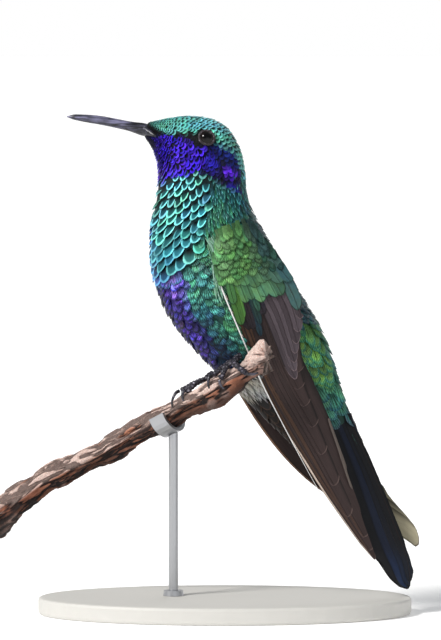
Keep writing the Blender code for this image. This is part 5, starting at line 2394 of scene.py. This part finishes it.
class Bill:
    """The bill's horn: both halves as one sheath with the gape's groove and the nostrils."""

    nodes: Sequence[str] = ("bill_upper", "bill_lower")
    rows: int = 160
    columns: int = 48
    # How far it goes on into the head, where its lips end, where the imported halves' open back
    # is left out, and how long its swelling to the face and its pointed end are, mm.
    buried: float = 4.5
    lip: float = 3.4
    back_end: float = 0.9
    swelling: float = 4.0
    point: float = 1.6
    # Angles from the top at which the gape and the nostril run, degrees.
    gape: float = 102.0
    nostril: float = 62.0

    @staticmethod
    def _from_angle(turn: Array, degrees: float) -> Array:
        """How far angles are from a given one on either side, radians."""
        way = math.radians(degrees)
        return np.minimum(np.abs(turn - way), np.abs(turn - (2 * np.pi - way)))[None, :]

    def build(self) -> None:
        """Makes the sheath.

        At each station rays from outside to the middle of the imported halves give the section's
        radii. Its end narrows to a point, it swells to the face, and past the feathers' border
        the gape's corners go on as lips. A groove of 0.07 mm runs along the gape and a longer
        dent marks each nostril.
        """
        tree = tree_of(*self.nodes)
        low, high = np.array(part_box("bill_upper"))
        x0, x1 = min(low[0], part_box("bill_lower")[0][0]), high[0]
        start = 0.06 * MM
        x = np.linspace(x0 + start, x1 + self.buried * MM, self.rows)
        line = np.column_stack([x, 0 * x, 0 * x])[:, None]
        middle = (cast_in(tree, line, UP) - cast_in(tree, line, -UP))[:, 0] / 2
        shown = x < x1 - self.back_end * MM
        known = ~np.isnan(middle) & shown
        fit = np.polyfit(x[known][-30:], middle[known][-30:], 1)
        middle = np.where(x > x[known][-1], np.polyval(fit, x), np.interp(x, x[known], middle[known]))
        tangent = unit(np.column_stack([np.gradient(x), 0 * x, np.gradient(middle)]))
        up = np.column_stack([-tangent[:, 2], 0 * x, tangent[:, 0]])
        turn = turns(self.columns)
        ways = ways_round(up, np.array([0, -1.0, 0]), turn)
        centre = np.stack([x, 0 * x, middle], axis=1)[:, None]
        radius = cast_in(tree, centre, ways)
        radius[(radius < 0) | ~shown[:, None]] = np.nan
        radius = np.maximum(blur(fill_gaps(radius, wrap=True), (2.0, 1.2), wrap=True), 0.08 * MM)
        past = ((x - x1) / MM)[:, None]
        swell = np.clip(past / self.swelling + 1, 0, 1) ** 1.5
        narrow = np.sqrt(np.clip((x - x0 + start) / (self.point * MM), 0, 1))[:, None]
        radius = radius * (1 + 0.32 * swell) * narrow
        along = np.linspace(0, 1, self.rows)[:, None]
        gape, slit = self._from_angle(turn, self.gape), self._from_angle(turn, self.nostril)
        reach = (1.95 + 0.80 * past) * MM * np.clip((self.lip - past) / 0.4, 0, 1)
        lips = np.exp(-((gape / np.maximum(0.62 - 0.17 * past, 0.08)) ** 2))
        lips = lips * np.clip((past + 0.6) / 0.6, 0, 1)
        radius = radius + np.maximum(reach - radius, 0) * lips
        groove = 0.07 * np.exp(-((gape / 0.10) ** 2)) * np.clip(along / 0.3, 0, 1)
        dent = 0.18 * np.exp(-((slit / 0.16) ** 2) - ((along - 0.74) / 0.06) ** 2)
        noise = np.random.default_rng(7).normal(0, 1, radius.shape)
        radius = radius + (0.02 * blur(noise, (14, 0.8), wrap=True) - groove - dent) * MM
        # Painted shade darkens its underside, and its part near the face is darker too.
        under = np.clip(-np.cos(turn) * 1.2 + 0.1, 0, 1)[None, :]
        deep = np.clip(0.45 * under + 0.75 * np.clip((past + 5.0) / 5.0, 0, 1), 0, 0.85)
        shell = Shell()
        add_tube(shell, centre + radius[..., None] * ways, ("OFBake",), {"marks": parts(deep, 0.0, 0.0)})
        material = HornFinish("bill", tone(24, 25, 32), tone(122, 120, 150)).build()
        shell.build("bill", material, "horn", *self.nodes, crease=180)


class Claws:
    """The claws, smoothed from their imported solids."""

    cell: float = 0.085
    growth: float = 1.15

    def build(self) -> None:
        """Makes one piece for each claw, grown a little to make up for the smoothing."""
        dark, light = tone(16, 16, 20), tone(74, 72, 84)
        material = HornFinish("claw", dark, light, grain=(500, 500, 500), roughness=0.2).build()
        for side in SIDES:
            for number in range(1, 5):
                node = f"claw_{side}_{number}"
                points, faces = voxel_surface(*node_arrays(node), self.cell * MM, 3)
                middle = points.mean(axis=0)
                points = middle + (points - middle) * self.growth
                flat = ((points - points.min(axis=0)) / np.ptp(points, axis=0))[:, [0, 2]]
                shell = Shell()
                shell.add(points, faces, {"OFBake": flat}, {"marks": np.zeros((len(points), 3))})
                shell.build(f"horn_{side}_{number}", material, "horn", node, crease=180)


# ---------------------------------------------------------------- twig and stand


class Twig:
    """The cut twig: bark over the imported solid's line, with cracks, knots and a broken end."""

    node: str = "perch_twig"
    rows: int = 420
    columns: int = 120
    # How far apart the cast rays are, in rows and columns.
    skip: tuple[int, int] = (3, 2)
    # Lengths of its end that are stripped of bark and splintered, mm.
    raw_end: float = 9.0
    splintered: float = 4.5

    def _axis(self, tree: BVHTree) -> Array:
        """Finds the twig's middle line from rays down and up through it.

        Returns:
            Points (n, 3) from its thick far end to its broken end.
        """
        low, high = np.array(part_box(self.node))
        x = np.linspace(low[0] + 0.4 * MM, high[0] - 0.4 * MM, 90)
        xx, yy = np.meshgrid(x, np.arange(low[1] + 0.1 * MM, high[1], 0.3 * MM), indexing="ij")
        spots = np.stack([xx, yy, 0 * xx], axis=-1)
        top, under = cast_in(tree, spots, UP), -cast_in(tree, spots, -UP)
        weight = np.nan_to_num(top - under)
        weight = weight / weight.sum(axis=1, keepdims=True)
        across = (yy * weight).sum(axis=1)
        upward = (np.nan_to_num(top + under) / 2 * weight).sum(axis=1)
        return np.column_stack([x, running_mean(across, 3), running_mean(upward, 3)])

    def _radii(self, tree: BVHTree, centre: Array, ways: Array) -> Array:
        """Reads the section's radii from rays at every few rows and columns."""
        down, over = self.skip
        found = cast(tree, centre[::down, None], ways[::down, ::over])
        rough = fill_gaps(found, wrap=True)
        rough = np.concatenate([rough, rough[:, :1]], axis=1)
        rows, columns = np.arange(self.rows) / down, np.arange(self.columns) / over
        tall = np.stack([np.interp(rows, np.arange(len(rough)), line) for line in rough.T], axis=1)
        return np.array([np.interp(columns, np.arange(rough.shape[1]), line) for line in tall])

    def build(self) -> None:
        """Makes the twig.

        The section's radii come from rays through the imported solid. Bark adds
        0.10 mm * fine noise plus 0.36 mm * stepped ledges less 0.42 mm * cracks, and lumps swell
        it. Over its last 9 mm it tapers, roughens and is raw, and over its last 4.5 mm it
        splinters: its length varies round the section.
        """
        tree = tree_of(self.node)
        line = self._axis(tree)
        length = run_length(line)
        at = np.linspace(0, length[-1], self.rows)
        centre = np.column_stack([np.interp(at, length, line[:, k]) for k in range(3)])
        tangent = unit(np.gradient(centre, axis=0))
        side = unit(np.cross(tangent, UP))
        ways = ways_round(np.cross(side, tangent), side, turns(self.columns))
        radius = blur(self._radii(tree, centre, ways), (3, 2), wrap=True)
        rng = np.random.default_rng(31)
        fine = self._noise(rng, self.rows, (5.0, 1.0))
        broad = self._noise(rng, self.rows, (16.0, 3.0))
        lumps = self._noise(rng, self.rows, (9.0, 7.0))
        splinter = self._noise(rng, 1, (0, 1.4))
        chips = self._noise(rng, self.rows, (6.0, 2.4))
        left = ((at[-1] - at) / MM)[:, None]
        end = np.clip(1 - left / self.raw_end, 0, 1)
        crack = np.exp(-(((broad + 0.35 * fine) / 0.22) ** 2))
        crack = np.maximum(crack, np.exp(-((chips / 0.2) ** 2)) * np.clip(end * 2, 0, 1))
        ledge = blur(np.round(broad * 1.2 + lumps * 0.9) / 1.2, (0.7, 0.7), wrap=True)
        upward = ways[..., 2]
        radius = radius * (1 + 0.08 * lumps - 0.27 * end * end - 0.20 * end**3 * (1 - upward))
        bark = 0.10 * fine + 0.36 * ledge - (0.42 + 0.25 * end) * crack + 0.40 * chips * end
        radius = radius + bark * MM * np.clip(radius / (2.0 * MM), 0.4, 1)
        pull = np.clip(1 - left / self.splintered, 0, 1) ** 1.6
        pull = pull * np.clip(splinter * 0.8 + (upward - 0.9) * 2.0, -5.5, 0.0) * MM
        rings = centre[:, None] + radius[..., None] * ways + pull[..., None] * tangent[:, None]
        # The second mark is painted light on faces that look up, besides the bare broken end and the largest
        # lumps; the first dips in the cracks, partly painted shade; the third is painted shade on the
        # underside.
        raw = np.clip(end * 0.7 + 0.5 * (lumps > 0.7) + 1.0 * (upward > -0.05) * (ledge > -0.9), 0, 1)
        height = np.clip(0.55 + 0.25 * fine + 0.2 * broad - 0.7 * crack, 0, 1)
        marks = parts(height, blur(raw, (1.5, 1.2), wrap=True), np.clip(0.05 - 1.1 * upward, 0, 1))
        shell = Shell()
        add_tube(shell, rings, ("vane", "OFBake"), {"marks": marks})
        shell.turn_map("vane", (2 * np.pi * radius.mean() / MM, at[-1] / MM))
        shell.build("twig", BarkFinish().build(), "bark", self.node, crease=180)

    def _noise(self, rng: np.random.Generator, rows: int, reach: tuple[float, float]) -> Array:
        """Soft noise round the twig with mean 0 and spread 1."""
        grid = blur(rng.normal(0, 1, (rows, self.columns)), reach, wrap=True)
        return (grid - grid.mean()) / grid.std()


class Stand:
    """The display stand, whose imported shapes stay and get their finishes."""

    def build(self) -> None:
        """Dresses the base, the rod and the cradle."""
        board = StandFinish("board", tone(200, 198, 193), 0.0, 0.55, (30.0, 700.0, 700.0)).build()
        metal = StandFinish("steel", tone(176, 177, 180), 0.9, 0.36, (900.0, 900.0, 60.0)).build()
        for node, material in (("stand_base", board), ("stand_rod", metal), ("stand_cradle", metal)):
            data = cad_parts[node].data
            if not data.materials:
                data.materials.append(material)
            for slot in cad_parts[node].material_slots:
                slot.material = material
            LOG.info("%s dressed", node)


# ---------------------------------------------------------------- studio


@dataclass(frozen=True)
class Light:
    """A soft square light aimed at a point."""

    name: str
    place: tuple[float, float, float]
    size: float
    power: float
    warmth: tuple[float, float, float] = (1.0, 1.0, 1.0)

    def build(self, target: Vector) -> None:
        """Makes the light."""
        data = bpy.data.lights.new(self.name, "AREA")
        data.size, data.energy, data.color = self.size, self.power, self.warmth
        lamp = put(self.name, data)
        lamp.location = self.place
        lamp.rotation_euler = (target - Vector(self.place)).to_track_quat("-Z", "Y").to_euler()


class Studio:
    """Pale floor and surroundings, soft lights and the camera."""

    aim: tuple[float, float, float] = (-0.0010, 0.0, 0.0678)
    distance: float = 1.2
    elevation: float = 3.0
    # Height of the view at the target, metres, and of the camera's sensor, mm.
    tall: float = 0.1471
    sensor: float = 36.0
    sun_way: tuple[float, float, float] = (-0.62, -0.50, 0.80)
    sun_strength: float = 3.25
    sun_spread: float = 16.0
    sun_warmth: tuple[float, float, float] = (1.0, 0.985, 0.96)
    lights: Sequence[Light] = (
        Light("fill", (0.45, -0.9, 0.20), 0.8, 0.9, (0.93, 0.96, 1.0)),
        Light("rim", (0.35, 0.8, 0.6), 0.5, 1.5),
    )

    def build(self) -> None:
        """Makes the floor, the world, the lights and the camera."""
        target = Vector(self.aim)
        self._floor()
        self._world()
        self._sun()
        for light in self.lights:
            light.build(target)
        data = bpy.data.cameras.new("camera")
        data.sensor_fit = "VERTICAL"
        data.sensor_height = self.sensor
        data.lens = self.sensor * self.distance / self.tall
        data.clip_start, data.clip_end = 0.05, 200.0
        camera = put("camera", data)
        tilt = math.radians(self.elevation)
        camera.location = target + Vector((0, -math.cos(tilt), math.sin(tilt))) * self.distance
        camera.rotation_euler = (math.pi / 2 - tilt, 0, 0)
        bpy.context.scene.camera = camera
        bpy.context.scene.view_settings.view_transform = "Standard"

    def _sun(self) -> None:
        """Makes the main light, wide enough for soft shadows and even over the floor."""
        data = bpy.data.lights.new("key", "SUN")
        data.energy, data.angle = self.sun_strength, math.radians(self.sun_spread)
        data.color = self.sun_warmth
        put("key", data).rotation_euler = Vector(self.sun_way).to_track_quat("Z", "Y").to_euler()

    @staticmethod
    def _floor() -> None:
        """Makes a wide pale floor, which isn't part of the object."""
        mesh = bpy.data.meshes.new("floor")
        # Half its width, metres.
        half = 60.0
        corners = [(-half, -half, 0), (half, -half, 0), (half, half, 0), (-half, half, 0)]
        mesh.from_pydata(corners, [], [(0, 1, 2, 3)])
        floor = put("floor", mesh)
        paint = Paint("floor")
        cloud = paint.noise(paint.place(), 3.0, 2.0)
        mesh.materials.append(paint.surface(
            Base_Color=paint.shade(tone(252, 252, 252), 0.98 + cloud * 0.04), Roughness=0.9,
            Emission_Color=tone(255, 255, 255), Emission_Strength=0.16,
        ))

    @staticmethod
    def _world() -> None:
        """Makes a surround that is near white at the horizon and dimmer overhead."""
        world = bpy.data.worlds.new("surround")
        world.use_nodes = True
        tree = world.node_tree
        shade = tree.nodes["Background"]
        way = tree.nodes.new("ShaderNodeTexCoord").outputs["Generated"]
        split = tree.nodes.new("ShaderNodeSeparateXYZ")
        ramp = tree.nodes.new("ShaderNodeValToRGB")
        tree.links.new(way, split.inputs[0])
        tree.links.new(split.outputs[2], ramp.inputs[0])
        ramp.color_ramp.interpolation = "EASE"
        stops = ((0.08, (1.0, 1.0, 1.0, 1.0)), (0.30, (0.26, 0.27, 0.28, 1.0)))
        for element, (place, colour) in zip(ramp.color_ramp.elements, stops):
            element.position, element.color = place, colour
        tree.links.new(ramp.outputs[0], shade.inputs["Color"])
        shade.inputs["Strength"].default_value = 1.0
        bpy.context.scene.world = world


def main() -> None:
    """Builds every piece in order and reports it."""
    form = BodyForm()
    LOG.info("body form: %.1f mm along the spine", form.s[-1])
    plumage = Plumage()
    wings, tails = [wing_form(side) for side in SIDES], [tail_form(side) for side in SIDES]
    Skin(form, plumage, wings, tails).build()
    Coat(form, plumage, wings).build()
    Wisps(form).build()
    for wing, side, seed in zip(wings, SIDES, (11, 12)):
        Wing(wing, side, seed).build()
    for tail, side, seed in zip(tails, SIDES, (21, 22)):
        Tail(tail, side, seed).build()
        Eye(form, side).build()
    Bill().build()
    Claws().build()
    Twig().build()
    Stand().build()
    Studio().build()


if __name__ == "__main__":
    logging.basicConfig(level=logging.INFO, format="%(name)s: %(message)s")
    main()
